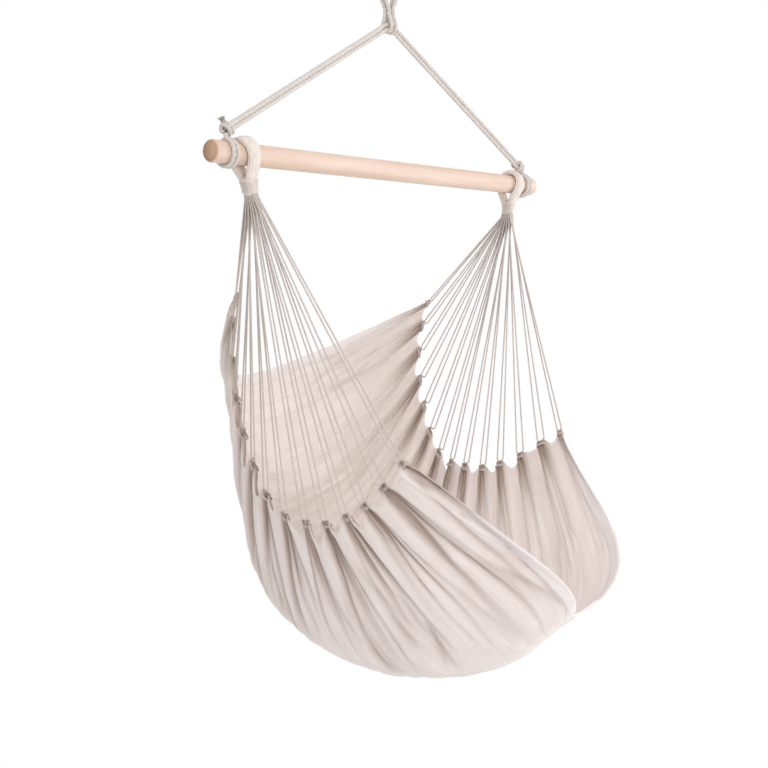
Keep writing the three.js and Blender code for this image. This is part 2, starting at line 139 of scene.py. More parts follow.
def even_route(points, step, rounds=0):
    """The route through the points, at even steps, with its corners eased a number of rounds."""
    points = np.asarray(points, float)
    for _ in range(1 + (rounds > 0)):
        lengths = route_lengths(points)
        places = np.linspace(0, lengths[-1], max(3, int(round(lengths[-1] / step)) + 1))
        points = read_along(places, lengths, points)
        for _ in range(rounds):
            points[1:-1] = (points[:-2] + 2 * points[1:-1] + points[2:]) / 4
    return points


def through_points(points, share):
    """Points on the smooth curve through the given points; share runs from 0 to 1."""
    points = np.asarray(points, float)
    last = len(points) - 1
    place = np.clip(np.asarray(share, float), 0, 1) * last
    index = np.minimum(place.astype(int), last - 1)
    t = (place - index)[..., None]
    padded = np.vstack([2 * points[0] - points[1], points, 2 * points[-1] - points[-2]])
    a, b, c, d = (padded[index + k] for k in range(4))
    slope, bend = (c - a) / 2, a - 5 / 2 * b + 2 * c - d / 2
    return b + slope * t + bend * t**2 + ((d - a) / 2 + 3 / 2 * (b - c)) * t**3


def carried_axes(points):
    """Two directions square to the route at each point, carried along it without twist."""
    ways = route_ways(points)
    side = np.eye(3)[np.argmin(abs(ways[0]))]
    across = []
    for way in ways:
        side = unit(side - way * (side @ way))
        across.append(side)
    return ways, np.array(across), np.cross(ways, across)


# %% Tubes
cap_ring_share = 0.6
cap_ring_reach = 0.3
cap_tip_reach = 0.42
groove_roundness = 0.7


def mesh_piece(name, points, faces, face_uvs=None):
    """A new mesh piece; face_uvs holds one (u, v) for each corner of each face, in order."""
    mesh = bpy.data.meshes.new(name)
    mesh.from_pydata([tuple(p) for p in points], [], faces)
    if face_uvs is not None:
        layer = mesh.uv_layers.new(name="UVMap")
        layer.data.foreach_set("uv", np.asarray(face_uvs, float).ravel())
    mesh.polygons.foreach_set("use_smooth", [True] * len(mesh.polygons))
    mesh.update()
    piece = bpy.data.objects.new(name, mesh)
    bpy.context.scene.collection.objects.link(piece)
    return piece


def swept_tube(name, points, ways, rings):
    """A closed tube from rings of points, one ring for each point of the route, with rounded ends."""
    count, sides = rings.shape[:2]
    reach = np.linalg.norm(rings[0] - points[0], axis=1).mean()
    ends = ((0, -1), (count - 1, 1))
    corners = [rings.reshape(-1, 3)]
    for end, sign in ends:
        out = sign * ways[end] * reach
        corners.append(points[end] + (rings[end] - points[end]) * cap_ring_share + out * cap_ring_reach)
        corners.append(points[end] + out * cap_tip_reach)
    after = np.roll(np.arange(sides), -1)
    i, j = np.meshgrid(np.arange(count - 1) * sides, np.arange(sides), indexing="ij")
    walls = np.stack([i + j, i + after[j], i + sides + after[j], i + sides + j], axis=-1)
    faces = walls.reshape(-1, 4).tolist()
    turn, lengths = np.arange(sides + 1) / sides, route_lengths(points)
    grid = np.stack(np.broadcast_arrays(turn, lengths[:, None]), axis=-1)
    uvs = np.stack([grid[:-1, :-1], grid[:-1, 1:], grid[1:, 1:], grid[1:, :-1]], axis=2)
    uvs = uvs.reshape(-1, 2).tolist()
    for cap, (end, sign) in enumerate(ends):
        base = count * sides + cap * (sides + 1)
        for k in range(sides):
            edge = [end * sides + k, end * sides + after[k], base + after[k], base + k]
            tip = [base + k, base + after[k], base + sides]
            faces += [edge[::sign], tip[::sign]]
            uvs += [(turn[k], lengths[end])] * 7
    return mesh_piece(name, np.vstack(corners), faces, uvs)


def squarish(angles, power):
    """A round section pressed square: its two coordinates, by the angle round it."""
    return [np.sign(value) * abs(value) ** power for value in (np.cos(angles), np.sin(angles))]


def strand_profile(angles, strands, groove):
    """The radius of a laid rope's section, as a share of the full radius, by the angle round it."""
    return 1 - groove + groove * abs(np.cos(strands * angles / 2)) ** groove_roundness


def laid_rope(name, points, diameter, lay, strands=3, sides=18, groove=0.24):
    """A twisted rope along a route of close points."""
    ways, across, beside = carried_axes(points)
    angles = 2 * math.pi * (np.arange(sides) + 0.5) / sides
    radius = diameter / 2 * strand_profile(angles, strands, groove)
    turned = angles + 2 * math.pi * route_lengths(points)[:, None] / lay
    out = np.cos(turned)[..., None] * across[:, None] + np.sin(turned)[..., None] * beside[:, None]
    return swept_tube(name, points, ways, points[:, None] + radius[:, None] * out)


def own_finish(piece, finish, body, slot, *nodes):
    """Gives a piece its finish and its body, and hides the solids of the frame that it stands for. The slot
    is not used.
    """
    piece.data.materials.clear()
    piece.data.materials.append(finish)
    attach(piece, body)
    if nodes:
        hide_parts(*nodes)
    return piece


def new_finish(name):
    """An empty material to hand out now and to fill in further down."""
    finish = bpy.data.materials.new(name)
    finish.use_nodes = True
    return finish


cord_finish = new_finish("clew_cord_cotton")
rope_finish = new_finish("suspension_rope_cotton")
tail_finish = new_finish("cut_rope_end_cotton")
eye_finish = new_finish("served_eye_cotton")
cloth_finish = new_finish("seat_cloth_cotton")
hem_finish = new_finish("hem_cotton")
thread_finish = new_finish("sewing_thread")
wood_finish = new_finish("bar_beech")

# %% [markdown]
# ## The gathers
#
# The cords hold the cloth at fourteen gathers on each side, so both are worked out from the same
# places, counted from the front corner to the back corner. The places were measured off the
# photograph with the fitted camera. Each gather is a narrow finger of cloth, and the cord pulls it
# towards the neck, which is the foot of the binding under the eye. The eye leans inwards with its fan.

# %% Gathers and the cords' pull
cords_per_side = 14
last_gather = cords_per_side - 1
seat_reach = 400 * mm
seat_drop = 980 * mm
front_half_spread = 266 * mm
back_half_spread = 306 * mm
finger_half_share = 0.16
end_finger_half_share = 0.1
gather_shares = {  # forward and down, as shares of the seat's reach and drop, from front to back
    -1: ((0.518, 0.544), (0.403, 0.592), (0.303, 0.627), (0.203, 0.649), (0.09, 0.664),
         (-0.018, 0.665), (-0.14, 0.655), (-0.243, 0.617), (-0.313, 0.561), (-0.37, 0.5),
         (-0.403, 0.433), (-0.405, 0.362), (-0.383, 0.293), (-0.35, 0.237)),
    1: ((0.525, 0.534), (0.395, 0.56), (0.26, 0.588), (0.128, 0.608), (0.013, 0.619),
        (-0.103, 0.617), (-0.2, 0.61), (-0.28, 0.591), (-0.343, 0.547), (-0.385, 0.489),
        (-0.415, 0.431), (-0.423, 0.369), (-0.403, 0.31), (-0.363, 0.254)),
}


def seat_place(forward, left, drop):
    """A place on the seat; forward and drop are shares, and left is in metres."""
    return seat_reach * forward, left, bar_middle.z - seat_drop * drop


spreads = np.linspace(front_half_spread, back_half_spread, cords_per_side)
gathers = {side: np.array([seat_place(forward, side * spread, drop)
                           for (forward, drop), spread in zip(shares, spreads)])
           for side, shares in gather_shares.items()}

clew_place = 418 * mm
clew_lean = math.radians(12)
eye_drop = 44 * mm
seat_gap = 0.3 * mm
whipping_height = 22 * mm
whipping_foot = -eye_drop - seat_gap - whipping_height


def clew_to_chair(side, local):
    """A place given from the eye's own middle, with the eye's lean, in the chair's axes."""
    lean = Matrix.Rotation(-side * clew_lean, 3, "X")
    return np.array(bar_middle + Vector((0, side * clew_place, 0)) + lean @ Vector(local))


necks = {side: clew_to_chair(side, (0, 0, whipping_foot)) for side in (-1, 1)}


def side_edge(side, place):
    """The cloth's side edge; place counts the gathers from 0 at the front corner."""
    return through_points(gathers[side], np.asarray(place, float) / last_gather)


def pull_way(side, place):
    """The way the cords pull the cloth's edge at a place, turned square to the edge there."""
    place = np.asarray(place, float)
    front = side_edge(side, np.maximum(0, place - end_finger_half_share))
    back = side_edge(side, np.minimum(last_gather, place + end_finger_half_share))
    along = unit(back - front)
    down = side_edge(side, place) - necks[side]
    return unit(down - along * (down * along).sum(-1, keepdims=True))


def finger_half(index):
    """Half a finger's width, counted in gathers."""
    return end_finger_half_share if index in (0, last_gather) else finger_half_share


def finger_place(index):
    """The middle of a finger; the first and the last stand wholly inside the corners."""
    return min(max(index, end_finger_half_share), last_gather - end_finger_half_share)


print("necks", {side: neck.round(3).tolist() for side, neck in necks.items()})

# %% [markdown]
# ## The clew cords
#
# Each clew cord is one length of cord that is folded over the top of a gather. Both its ends go up
# into the binding under the eye. The load keeps it straight, so its route is two straight runs and a
# fold, and nothing of it hangs free. The binding holds seven columns of four strands. Of the two cords
# in a column, the one that runs inwards faster has the inner place, so that no two cords cross.

# %% Where the strands leave the binding
cord_spacing = 3.5 * mm
cord_run = 8 * mm


def inward_slope(side, index):
    way = unit(gathers[side][index] - necks[side])
    return -side * way[1]


def strand_start(side, index, strand, below):
    """Where a strand leaves the binding."""
    partner = index + 1 if index % 2 == 0 else index - 1
    inner = inward_slope(side, index) > inward_slope(side, partner)
    column = (cords_per_side / 2 - 1) / 2 - index // 2
    row = side * ((0 if inner else 2) + strand - 3 / 2)
    return clew_to_chair(side, (column * cord_spacing, row * cord_spacing, whipping_foot - below))


def strand_order(starts, front, back):
    """The strands in the order in which they reach the fold, so that the two don't cross."""
    way = unit(front + back - starts[0] - starts[1])
    ends = front - back
    ends = ends - way * (ends @ way)
    return (1, 0) if (starts[0] - starts[1]) @ ends < 0 else (0, 1)


# %% Clew cords
cord_diameter = 3 * mm
cord_lay = 13 * mm
cord_step = 1.7 * mm
cord_sides = 9
cord_fullness = 1.15
cord_bend_steps = 8
cord_bend_share = 0.55
cord_fold_fill_share = 0.9


def corner_turn(before, corner, after):
    way_in, way_out = unit(corner - before), unit(after - corner)
    return way_in, way_out, math.acos(max(-1, min(1, way_in @ way_out)))


def round_bend(corner, way_in, way_out, turn, radius):
    """Points on the round bend that takes a corner's place."""
    centre = corner + unit(way_out - way_in) * radius / math.cos(turn / 2)
    spoke = corner - way_in * radius * math.tan(turn / 2) - centre
    angles = np.linspace(0, turn, cord_bend_steps + 1)[:, None]
    return centre + spoke * np.cos(angles) + way_in * radius * np.sin(angles)


def cord_route(side, index):
    middle, half = finger_place(index), finger_half(index)
    front, back = side_edge(side, middle - half), side_edge(side, middle + half)
    order = strand_order([strand_start(side, index, strand, seat_gap) for strand in (0, 1)], front, back)
    starts = [strand_start(side, index, strand, seat_gap) for strand in order]
    tops = [strand_start(side, index, strand, seat_gap + cord_run) for strand in order]
    first, second = corner_turn(tops[0], front, back), corner_turn(front, back, tops[1])
    width = np.linalg.norm(front - back)
    room = width * cord_fold_fill_share / (math.tan(first[2] / 2) + math.tan(second[2] / 2))
    radius = min(width / 2 * cord_bend_share, room)
    return np.vstack([starts[0], tops[0], round_bend(front, *first, radius),
                      round_bend(back, *second, radius), tops[1], starts[1]])


cords = []
for side, side_name in both_sides:
    for index in range(cords_per_side):
        route = even_route(cord_route(side, index), cord_step, rounds=2)
        name = f"clew_cord_{side_name}_{index + 1:02d}"
        cord = laid_rope("cotton_" + name, route, cord_diameter * cord_fullness, cord_lay, sides=cord_sides)
        own_finish(cord, cord_finish, "seat", "clew_cord", name)
        cords.append(cord)
print("clew cords", len(cords), "of", sum(len(cord.data.polygons) for cord in cords), "faces")

# %% [markdown]
# ## The suspension rope and its hanging loop
#
# The rope is doubled. At the top its two lengths stand side by side as the hanging loop, whose feet
# come down as two bights round the legs. The legs run through those bights, spread to the two ends of
# the bar and stay straight under load. So the chair can swing to and fro in the bights, as the real
# one does. The rope's section has twice the sides of a cord's, because it shows at twice the size.

# %% Hanging loop and apex
rope_diameter = 8.4 * mm
rope_lay = 30 * mm
rope_step = 2 * mm
strand_spacing = 8.8 * mm
fork_height = 284 * mm
apex_pivot = np.array((0, 0, bar_middle.z + fork_height))
apex_height = 24 * mm
loop_half_width = 20 * mm
loop_rise_shares = (0, 0.08, 0.36, 0.62)
loop_width_shares = (0.3, 0.3, 0.82, 1)
loop_arc_steps = 18


def hanging_loop_route(front):
    """Up from one foot, over the hook and down to the other foot."""
    foot = apex_pivot[2] + apex_height + seat_gap
    top = rope_diameter / 2 - loop_half_width
    shares = zip(loop_width_shares, loop_rise_shares)
    up = [(loop_half_width * width, foot + (top - foot) * rise) for width, rise in shares]
    angles = np.linspace(0, math.pi, loop_arc_steps + 1)
    over = [(loop_half_width * math.cos(a), top + loop_half_width * math.sin(a)) for a in angles]
    down = [(-y, z) for y, z in up[::-1]]
    return np.array([(front * strand_spacing / 2, y, z) for y, z in up + over + down])


def add_rope(name, body, node, route, lay=rope_lay, diameter=rope_diameter, rounds=2):
    """A piece of the suspension rope along a rough route; gives the piece and its even route."""
    route = even_route(route, rope_step, rounds)
    rope = laid_rope("rope_" + name, route, diameter, lay)
    own_finish(rope, rope_finish, body, "rope", node)
    print(name, round(route_lengths(route)[-1], 3), "m")
    return rope, route


for front, name in ((1, "hanging_loop_front"), (-1, "hanging_loop_back")):
    rope, route = add_rope(name, "hanging_loop", name, hanging_loop_route(front), front * rope_lay)


# %% The two bights under the loop's feet
bight_radius = 11.5 * mm
bight_drop = 3 * mm
bight_lead = 3 * mm
bight_over_angle = math.radians(21.6)
bight_steps = 24


def bight_route(left):
    """Down from the front rope's foot, round under the legs, and up to the back rope's foot."""
    y = left * loop_half_width * loop_width_shares[0]
    top = apex_pivot[2] + apex_height - seat_gap
    middle = apex_pivot[2] - bight_drop
    angles = np.linspace(bight_over_angle, -math.pi - bight_over_angle, bight_steps + 1)
    down = [(strand_spacing / 2, y, z) for z in (top, top - bight_lead)]
    under = [(bight_radius * math.cos(a), y, middle + bight_radius * math.sin(a)) for a in angles]
    return np.array([*down, *under, *[(-x, y, z) for x, y, z in down[::-1]]])


for left, side_name in both_sides:
    add_rope("bight_" + side_name, "apex", "apex_knot", bight_route(left), left * rope_lay)


# %% The legs
hitch_place = 458 * mm
bar_radius = 19 * mm
winding_gap = 0.6 * mm
knot_radius = 11 * mm
knot_height = bar_radius + winding_gap + rope_diameter + seat_gap + knot_radius
knots = {side: np.array((0, side * hitch_place, bar_middle.z + knot_height)) for side in (-1, 1)}
leg_bend = 26 * mm
leg_bend_steps = 11
leg_start_share = 0.35
leg_corner_share = 0.45
leg_end_share = 0.2


def leg_route(side, place):
    """One strand from inside the bights, bending down to its leg, and into the knot on the bar."""
    way = unit(knots[side] - apex_pivot)
    off = place * strand_spacing / 2
    square = np.cross((1, 0, 0), way) * side * off
    bend = apex_pivot + way * leg_bend + square
    start = apex_pivot + np.array((0, 0, off - leg_bend * abs(way[2]) * leg_start_share))
    corner = start + np.array((0, side * leg_bend * leg_corner_share, 0))
    shares = np.linspace(0, 1, leg_bend_steps + 1)[:, None]
    curve = (1 - shares) ** 2 * start + 2 * shares * (1 - shares) * corner + shares**2 * bend
    return np.vstack([curve, knots[side] - way * knot_radius * leg_end_share + square])


for side, side_name in both_sides:
    for place, word in ((1, "upper"), (-1, "lower")):
        name = f"leg_strand_{word}_{side_name}"
        leg, route = add_rope(name, "suspension", name, leg_route(side, place), place * rope_lay)

# %% [markdown]
# ## The hitches on the bar
#
# Each end of the rope takes two turns round the bar and is then tied to its own leg. The turns are a
# spiral, so their route comes from a formula. Both its ends rise into the knot. The knot is two snug
# wraps round the pair of strands, and the short cut tail comes out of it, with its yarns spread.

# %% Turns round the bar
hitch_pitch = 9.2 * mm
hitch_turns = 2
hitch_open_angle = math.radians(40)
hitch_steps = 96
hitch_rise_shares = ((0.18, 0.5, 0.27), (0.05, 0.2, 0.5))


def hitch_route(side):
    """The spiral round the bar; both its ends draw in and rise into the knot."""
    radius = bar_radius + seat_gap + rope_diameter / 2
    sweep = hitch_turns * 2 * math.pi - hitch_open_angle
    shares = np.linspace(0, 1, hitch_steps + 1)
    angles = math.pi / 2 - hitch_open_angle / 2 - sweep * shares
    along = hitch_pitch * hitch_turns * (shares - 1 / 2)
    turns = np.stack([radius * np.cos(angles), -side * along, radius * np.sin(angles)], axis=1)
    rise = knot_height - radius
    first, last = ([(end[0] * x, end[1] * y, radius + rise * z) for x, y, z in hitch_rise_shares]
                   for end in (turns[0], turns[-1]))
    return np.vstack([first[::-1], turns, last]) + np.array((0, side * hitch_place, bar_middle.z))


for side, side_name in both_sides:
    name = "bar_hitch_" + side_name
    add_rope(name, "suspension", name, hitch_route(side), rounds=3)


# %% Knots and tails
wrap_wide = 10.6 * mm
wrap_deep = 8.2 * mm
wrap_pitch = 7.8 * mm
wrap_diameter = 8 * mm
wrap_turns = 2.15
wrap_steps = 59
wrap_drop = 2 * mm
wrap_start_angle = math.radians(153)
wrap_end_sink = 0.55
wrap_end_angle = 0.35
tail_length = 7 * mm
tail_diameter = 9 * mm
tail_sag = 1.5 * mm
tail_ways = {-1: unit((-0.1, -0.45, 1)), 1: unit((-1, 0.3, 0.5))}
yarns_in_tail = 20
yarn_diameter = 2 * mm
yarn_lay = 9 * mm
yarn_root = 2 * mm
yarn_lengths = (5 * mm, 8.5 * mm)
yarn_spreads = (0.1, 0.5)
yarn_ring_share = 0.85
golden_turn = 2 * math.pi * 0.618


def knot_route(side):
    """Snug wraps round the two strands of the leg, ending inside at both ends."""
    way = unit(knots[side] - apex_pivot)
    deep = np.array((1.0, 0, 0))
    wide = np.cross(way, deep)
    angles = np.linspace(0, 2 * math.pi * wrap_turns, wrap_steps + 1)
    height = wrap_pitch * (angles / (2 * math.pi) - wrap_turns / 2) - wrap_drop
    inward = 1 - wrap_end_sink * np.exp(-from_ends(angles) / wrap_end_angle)
    return (knots[side] + np.outer(height, way)
            + np.outer(np.cos(angles + wrap_start_angle) * wrap_deep * inward, deep)
            + np.outer(np.sin(angles + wrap_start_angle) * wrap_wide * inward, wide))


def tail_route(side):
    reach = knot_radius + seat_gap + tail_length
    shares = np.linspace(0, 1, 10)[:, None]
    return knots[side] + tail_ways[side] * reach * shares - np.array((0, 0, tail_sag)) * shares**2


def frayed_end(tip, way):
    """Short yarns that spread from the cut end of a rope."""
    rng = np.random.default_rng(5)
    across = unit(np.cross(way, (1, 0, 0)))
    beside = np.cross(way, across)
    shares = np.linspace(0, 1, 5)[:, None]
    pieces = []
    for k in range(yarns_in_tail):
        out = np.cos(k * golden_turn) * across + np.sin(k * golden_turn) * beside
        ring = tail_diameter / 2 * yarn_ring_share * math.sqrt((k + 0.5) / yarns_in_tail)
        spread, length = rng.uniform(*yarn_spreads), rng.uniform(*yarn_lengths)
        route = tip + out * ring + way * (length * shares - yarn_root) + out * spread * length * shares**2
        pieces.append(laid_rope("tail_yarn", route, yarn_diameter, yarn_lay, sides=6, groove=0))
    return pieces


def joined(name, pieces):
    """Joins pieces into one, under a new name."""
    bpy.ops.object.select_all(action="DESELECT")
    for piece in pieces:
        piece.select_set(True)
    bpy.context.view_layer.objects.active = pieces[0]
    bpy.ops.object.join()
    pieces[0].name = pieces[0].data.name = name
    bpy.ops.object.select_all(action="DESELECT")
    return pieces[0]


for side, side_name in both_sides:
    name = "hitch_knot_" + side_name
    add_rope(name, "suspension", name, knot_route(side), diameter=wrap_diameter)
    route = even_route(tail_route(side), rope_step)
    yarns = frayed_end(route[-1], unit(route[-1] - route[-2]))
    tail = joined("rope_hitch_tail_" + side_name, [
        laid_rope("rope_tail", route, tail_diameter, rope_lay), *yarns])
    own_finish(tail, tail_finish, "suspension", "rope", "hitch_tail_" + side_name)
    print("tail", side_name, len(yarns), "yarns")

# %% [markdown]
# ## The clews
#
# The cords of a fan are gathered into one bundle that goes over the bar as an eye. The bundle is wide
# along the bar and thin across it, because the load presses it flat on the wood, and the cords in it
# show as soft ridges that run along it. Under the eye a thin twine binds the two legs of the bundle
# where the cords leave it. The eye is a swept section with ridges, and the binding is a real winding.

# %% Eyes over the bar
eye_widths = {-1: 29 * mm, 1: 25 * mm}
eye_thickness = 13 * mm
eye_step = 2.4 * mm
eye_sides = 48
eye_squareness = 2.5
eye_ridges = 10
eye_ridge_depth = 1.5 * mm
eye_ridge_roundness = 0.8
eye_ridge_drift = 0.264
eye_rest_gap = 0.4 * mm
eye_leg_gap = 0.2 * mm
eye_foot = 4 * mm
eye_foot_squeeze = 0.16
eye_foot_reach = 12 * mm


def eye_route():
    """Up one leg, over the bar and down the other leg, in the eye's own axes."""
    radius = bar_radius + eye_rest_gap + eye_thickness / 2
    x, z = eye_thickness / 2 + eye_leg_gap, -eye_drop
    start = math.atan2(z, x) + math.acos(radius / math.hypot(x, z))
    arc = [(radius * math.cos(a), 0, radius * math.sin(a)) for a in np.linspace(start, math.pi - start, 49)]
    return np.array([(x, 0, z - eye_foot), (x, 0, z), *arc, (-x, 0, z), (-x, 0, z - eye_foot)])


def clew_tube(name, side, route, rings):
    """A closed tube whose route and rings are given in the eye's own axes."""
    points = np.array([clew_to_chair(side, p) for p in route])
    turned = np.array([clew_to_chair(side, p) for p in rings.reshape(-1, 3)]).reshape(rings.shape)
    return swept_tube(name, points, route_ways(points), turned[:, ::-1])


def bundle(name, side, route, width, thickness):
    """A flat bundle of cords with soft ridges, wide along the bar."""
    lengths = route_lengths(route)
    angles = 2 * math.pi * np.arange(eye_sides) / eye_sides
    wide, deep = squarish(angles, 2 / eye_squareness)
    drift = eye_ridge_drift * np.sin(lengths / lengths[-1] * 4)[:, None]
    ridge = abs(np.cos(eye_ridges * (angles + drift) / 2)) ** eye_ridge_roundness
    low = eye_ridge_depth * (1 - ridge)
    squeeze = 1 - eye_foot_squeeze * np.exp(-from_ends(lengths) / eye_foot_reach)[:, None]
    half_wide = width / 2 * squeeze * wide - low * np.cos(angles)
    half_deep = thickness / 2 * deep - low * np.sin(angles)
    axis = np.array((0, 1.0, 0))
    inward = np.cross(route_ways(route), axis)
    rings = route[:, None] + half_wide[..., None] * axis + half_deep[..., None] * inward[:, None]
    return clew_tube(name, side, route, rings)


for side, side_name in both_sides:
    route = even_route(eye_route(), eye_step, rounds=3)
    eye = bundle("served_clew_eye_" + side_name, side, route, eye_widths[side], eye_thickness)
    own_finish(eye, eye_finish, "seat", "served_eye", "clew_eye_" + side_name)
    print("eye", side_name, [round(size, 3) for size in eye.dimensions])


# %% Bindings under the eyes
binding_sizes = {-1: ((34 * mm, 29 * mm), (30 * mm, 25 * mm)), 1: ((29 * mm, 22 * mm), (26 * mm, 18 * mm))}
binding_squareness = 2.8
binding_waist = 0.05
binding_turns = 7
binding_turn_steps = 40
core_sides = 36
core_rise_share = 0.08
core_sink_share = 0.3
twine_diameter = 2.8 * mm
twine_fullness = 1.1
twine_lay = 9 * mm


def binding_ring(side, share, angle, inset):
    """A point on the binding: X and the way along the bar, from its top, 0, to its foot, 1."""
    top, foot = np.array(binding_sizes[side])
    waist = 1 - binding_waist * math.sin(math.pi * share)
    half = (top + (foot - top) * share) / 2 * waist - inset
    return half * squarish(angle, 2 / binding_squareness)


def binding_core(side_name, side):
    """The plug of cords inside the binding."""
    shares = np.linspace(-core_rise_share, 1, 10)
    heights = -eye_drop - whipping_height * shares
    angles = 2 * math.pi * np.arange(core_sides) / core_sides
    inset = twine_diameter * core_sink_share
    rings = [[(*binding_ring(side, max(share, 0), a, inset), z) for a in angles]
             for share, z in zip(shares, heights)]
    return clew_tube("neck_" + side_name, side, [(0, 0, z) for z in heights], np.array(rings))


def binding_twine(side_name, side):
    """The winding round the plug, from its top to its foot."""
    shares = np.linspace(0, 1, binding_turns * binding_turn_steps + 1)
    heights = -eye_drop - twine_diameter / 2 - (whipping_height - twine_diameter) * shares
    angles = 2 * math.pi * binding_turns * shares
    route = [clew_to_chair(side, (*binding_ring(side, share, a, twine_diameter / 2), z))
             for share, a, z in zip(shares, angles, heights)]
    return laid_rope("twine_" + side_name, np.array(route), twine_diameter * twine_fullness, twine_lay,
                     strands=2, sides=8, groove=0.05)


for side, side_name in both_sides:
    binding = joined("twine_clew_whipping_" + side_name,
                     [binding_core(side_name, side), binding_twine(side_name, side)])
    own_finish(binding, eye_finish, "seat", "served_eye", "clew_whipping_" + side_name)
    print("binding", side_name, len(binding.data.polygons), "faces")

# %% [markdown]
# ## The spreader bar
#
# The bar is a plain turned rod. It is modelled as by hand: a cylinder is added and laid along the Y
# axis, and the edge round each end face is found by its place and bevelled. The long sides are then
# cut across by bisecting, because a face a metre long and a millimetre wide shades badly.

# %% Spreader bar
bar_length = 1000 * mm
bar_edge_round = 5 * mm
bar_end_inset = 6 * mm
bar_cut_shares = np.linspace(-0.4, 0.4, 9)
bpy.ops.mesh.primitive_cylinder_add(vertices=96, radius=bar_radius, depth=bar_length,
                                    location=bar_middle, rotation=(math.pi / 2, 0, 0))
bar = bpy.context.object
bar.name = bar.data.name = "wood_spreader_bar"
bpy.ops.object.transform_apply(location=True, rotation=True, scale=True)
bpy.ops.object.mode_set(mode="EDIT")
bpy.ops.mesh.select_all(action="DESELECT")
bpy.ops.object.mode_set(mode="OBJECT")
for edge in bar.data.edges:
    ends = [bar.data.vertices[k].co.y for k in edge.vertices]
    edge.select = abs(ends[0] - ends[1]) < mm
bpy.ops.object.mode_set(mode="EDIT")
bpy.ops.mesh.select_mode(type="EDGE")
bpy.ops.mesh.bevel(offset=bar_edge_round, segments=6, profile=0.5)
bpy.ops.mesh.select_all(action="DESELECT")
bpy.ops.object.mode_set(mode="OBJECT")
for face in bar.data.polygons:
    face.select = abs(face.normal.y) > 0.99
bpy.ops.object.mode_set(mode="EDIT")
bpy.ops.mesh.select_mode(type="FACE")
bpy.ops.mesh.inset(thickness=bar_end_inset)
for share in bar_cut_shares:
    bpy.ops.mesh.select_all(action="SELECT")
    bpy.ops.mesh.bisect(plane_co=(0, float(share) * bar_length, 0), plane_no=(0, 1, 0))
bpy.ops.object.mode_set(mode="OBJECT")
bpy.ops.object.shade_smooth_by_angle(angle=math.radians(35))
bpy.ops.object.select_all(action="DESELECT")
own_finish(bar, wood_finish, "suspension", "bar_wood", "spreader_bar")
print("bar", len(bar.data.polygons), "faces")

# %% [markdown]
# ## The seat cloth
#
# The cloth was cut flat, about one metre wide and one and a quarter long, and its sides were gathered
# to a little over half their length. Its smooth shape hangs between three lines: the two side edges
# through the gathers, and the lowest line from the front hem to the back hem, here called the keel.
# The spare length has to go somewhere, and it goes into folds. Each cord pinches a narrow finger of
# cloth. Short sharp slits run down from its top, long soft valleys fan out below them, and loose
# creases lie in between. Between two fingers the edge drops in a scallop and the cloth stands out as a
# long round flute that dies away towards the seat's lowest line. A simulation could find such folds,
# but it would also let the seat sink out of the shape that the photograph shows. So the folds are laid
# on the smooth seat by formula, from a seeded draw. The bound tops, the creases, the right side's rim
# and the back are painted darker than the open cloth: this tone is painted shade.

# %% The smooth seat
rim_gap = 0.5 * mm
edge_stand_off = cord_diameter / 2 + rim_gap
cheek_depth = 52 * mm
cheek_span_share = 0.35
cheek_fullest = 2 / 5
keel_shares = (  # forward, left and down: the seat's lowest line from the front hem to the back hem
    (1.01, -0.05, 0.844), (0.568, -0.072, 0.971), (-0.023, -0.09, 0.997),
    (-0.578, -0.11, 0.893), (-0.735, -0.13, 0.661), (-0.885, -0.15, 0.406))
keel_points = np.array([seat_place(forward, seat_reach * left, drop) for forward, left, drop in keel_shares])

# How the cloth leaves the lowest line at the front, the middle and the back: the higher the power,
# the longer it stays low before it turns up to its edge.
forward_power_shares = {-1: (2.9, 2.8, 2.2), 1: (2.25, 1.8, 1.4)}
height_power_shares = {-1: (1.53, 2.9, 2.5), 1: (1.47, 2.6, 1.4)}


def by_side(across, table):
    """The table's value for the side of the seat, 1 or -1, that each point lies on."""
    return np.where(across >= 0, table[1], table[-1])


def through_three(values, along):
    front, middle, back = values
    return np.where(along < 1 / 2, front + (middle - front) * 2 * along,
                    middle + (back - middle) * (2 * along - 1))


def cheek_shape(out):
    return out**2 * (1 - out) ** 3 / (cheek_fullest**2 * (1 - cheek_fullest) ** 3)


def smooth_seat(place, across, pull):
    """Points on the unfolded seat: place counts the gathers, across runs from the right edge to the left."""
    along = place / last_gather
    out = abs(across)
    low = through_points(keel_points, along)
    edges = {side: side_edge(side, place) + pull_way(side, pull) * edge_stand_off for side in (-1, 1)}
    rise = by_side(across[..., None], edges) - low
    forward_share, height_share = (
        out ** by_side(across, {side: through_three(powers, along) for side, powers in table.items()})
        for table in (forward_power_shares, height_power_shares))
    cheek = cheek_depth * np.maximum(0, 1 - along / cheek_span_share) ** 2 * cheek_shape(out)
    return np.stack([low[..., 0] + rise[..., 0] * forward_share + cheek,
                     low[..., 1] + rise[..., 1] * out,
                     low[..., 2] + rise[..., 2] * height_share], axis=-1)


def seat_normal(place, across, pull):
    step = end_finger_half_share
    p0, p1 = np.maximum(0, place - step), np.minimum(last_gather, place + step)
    c0, c1 = np.maximum(-1, across - step), np.minimum(1, across + step)
    along = smooth_seat(p1, across, pull) - smooth_seat(p0, across, pull)
    sideways = smooth_seat(place, c1, pull) - smooth_seat(place, c0, pull)
    return unit(np.cross(along, sideways))


print("lowest line", round(route_lengths(keel_points)[-1], 3), "m from hem to hem")

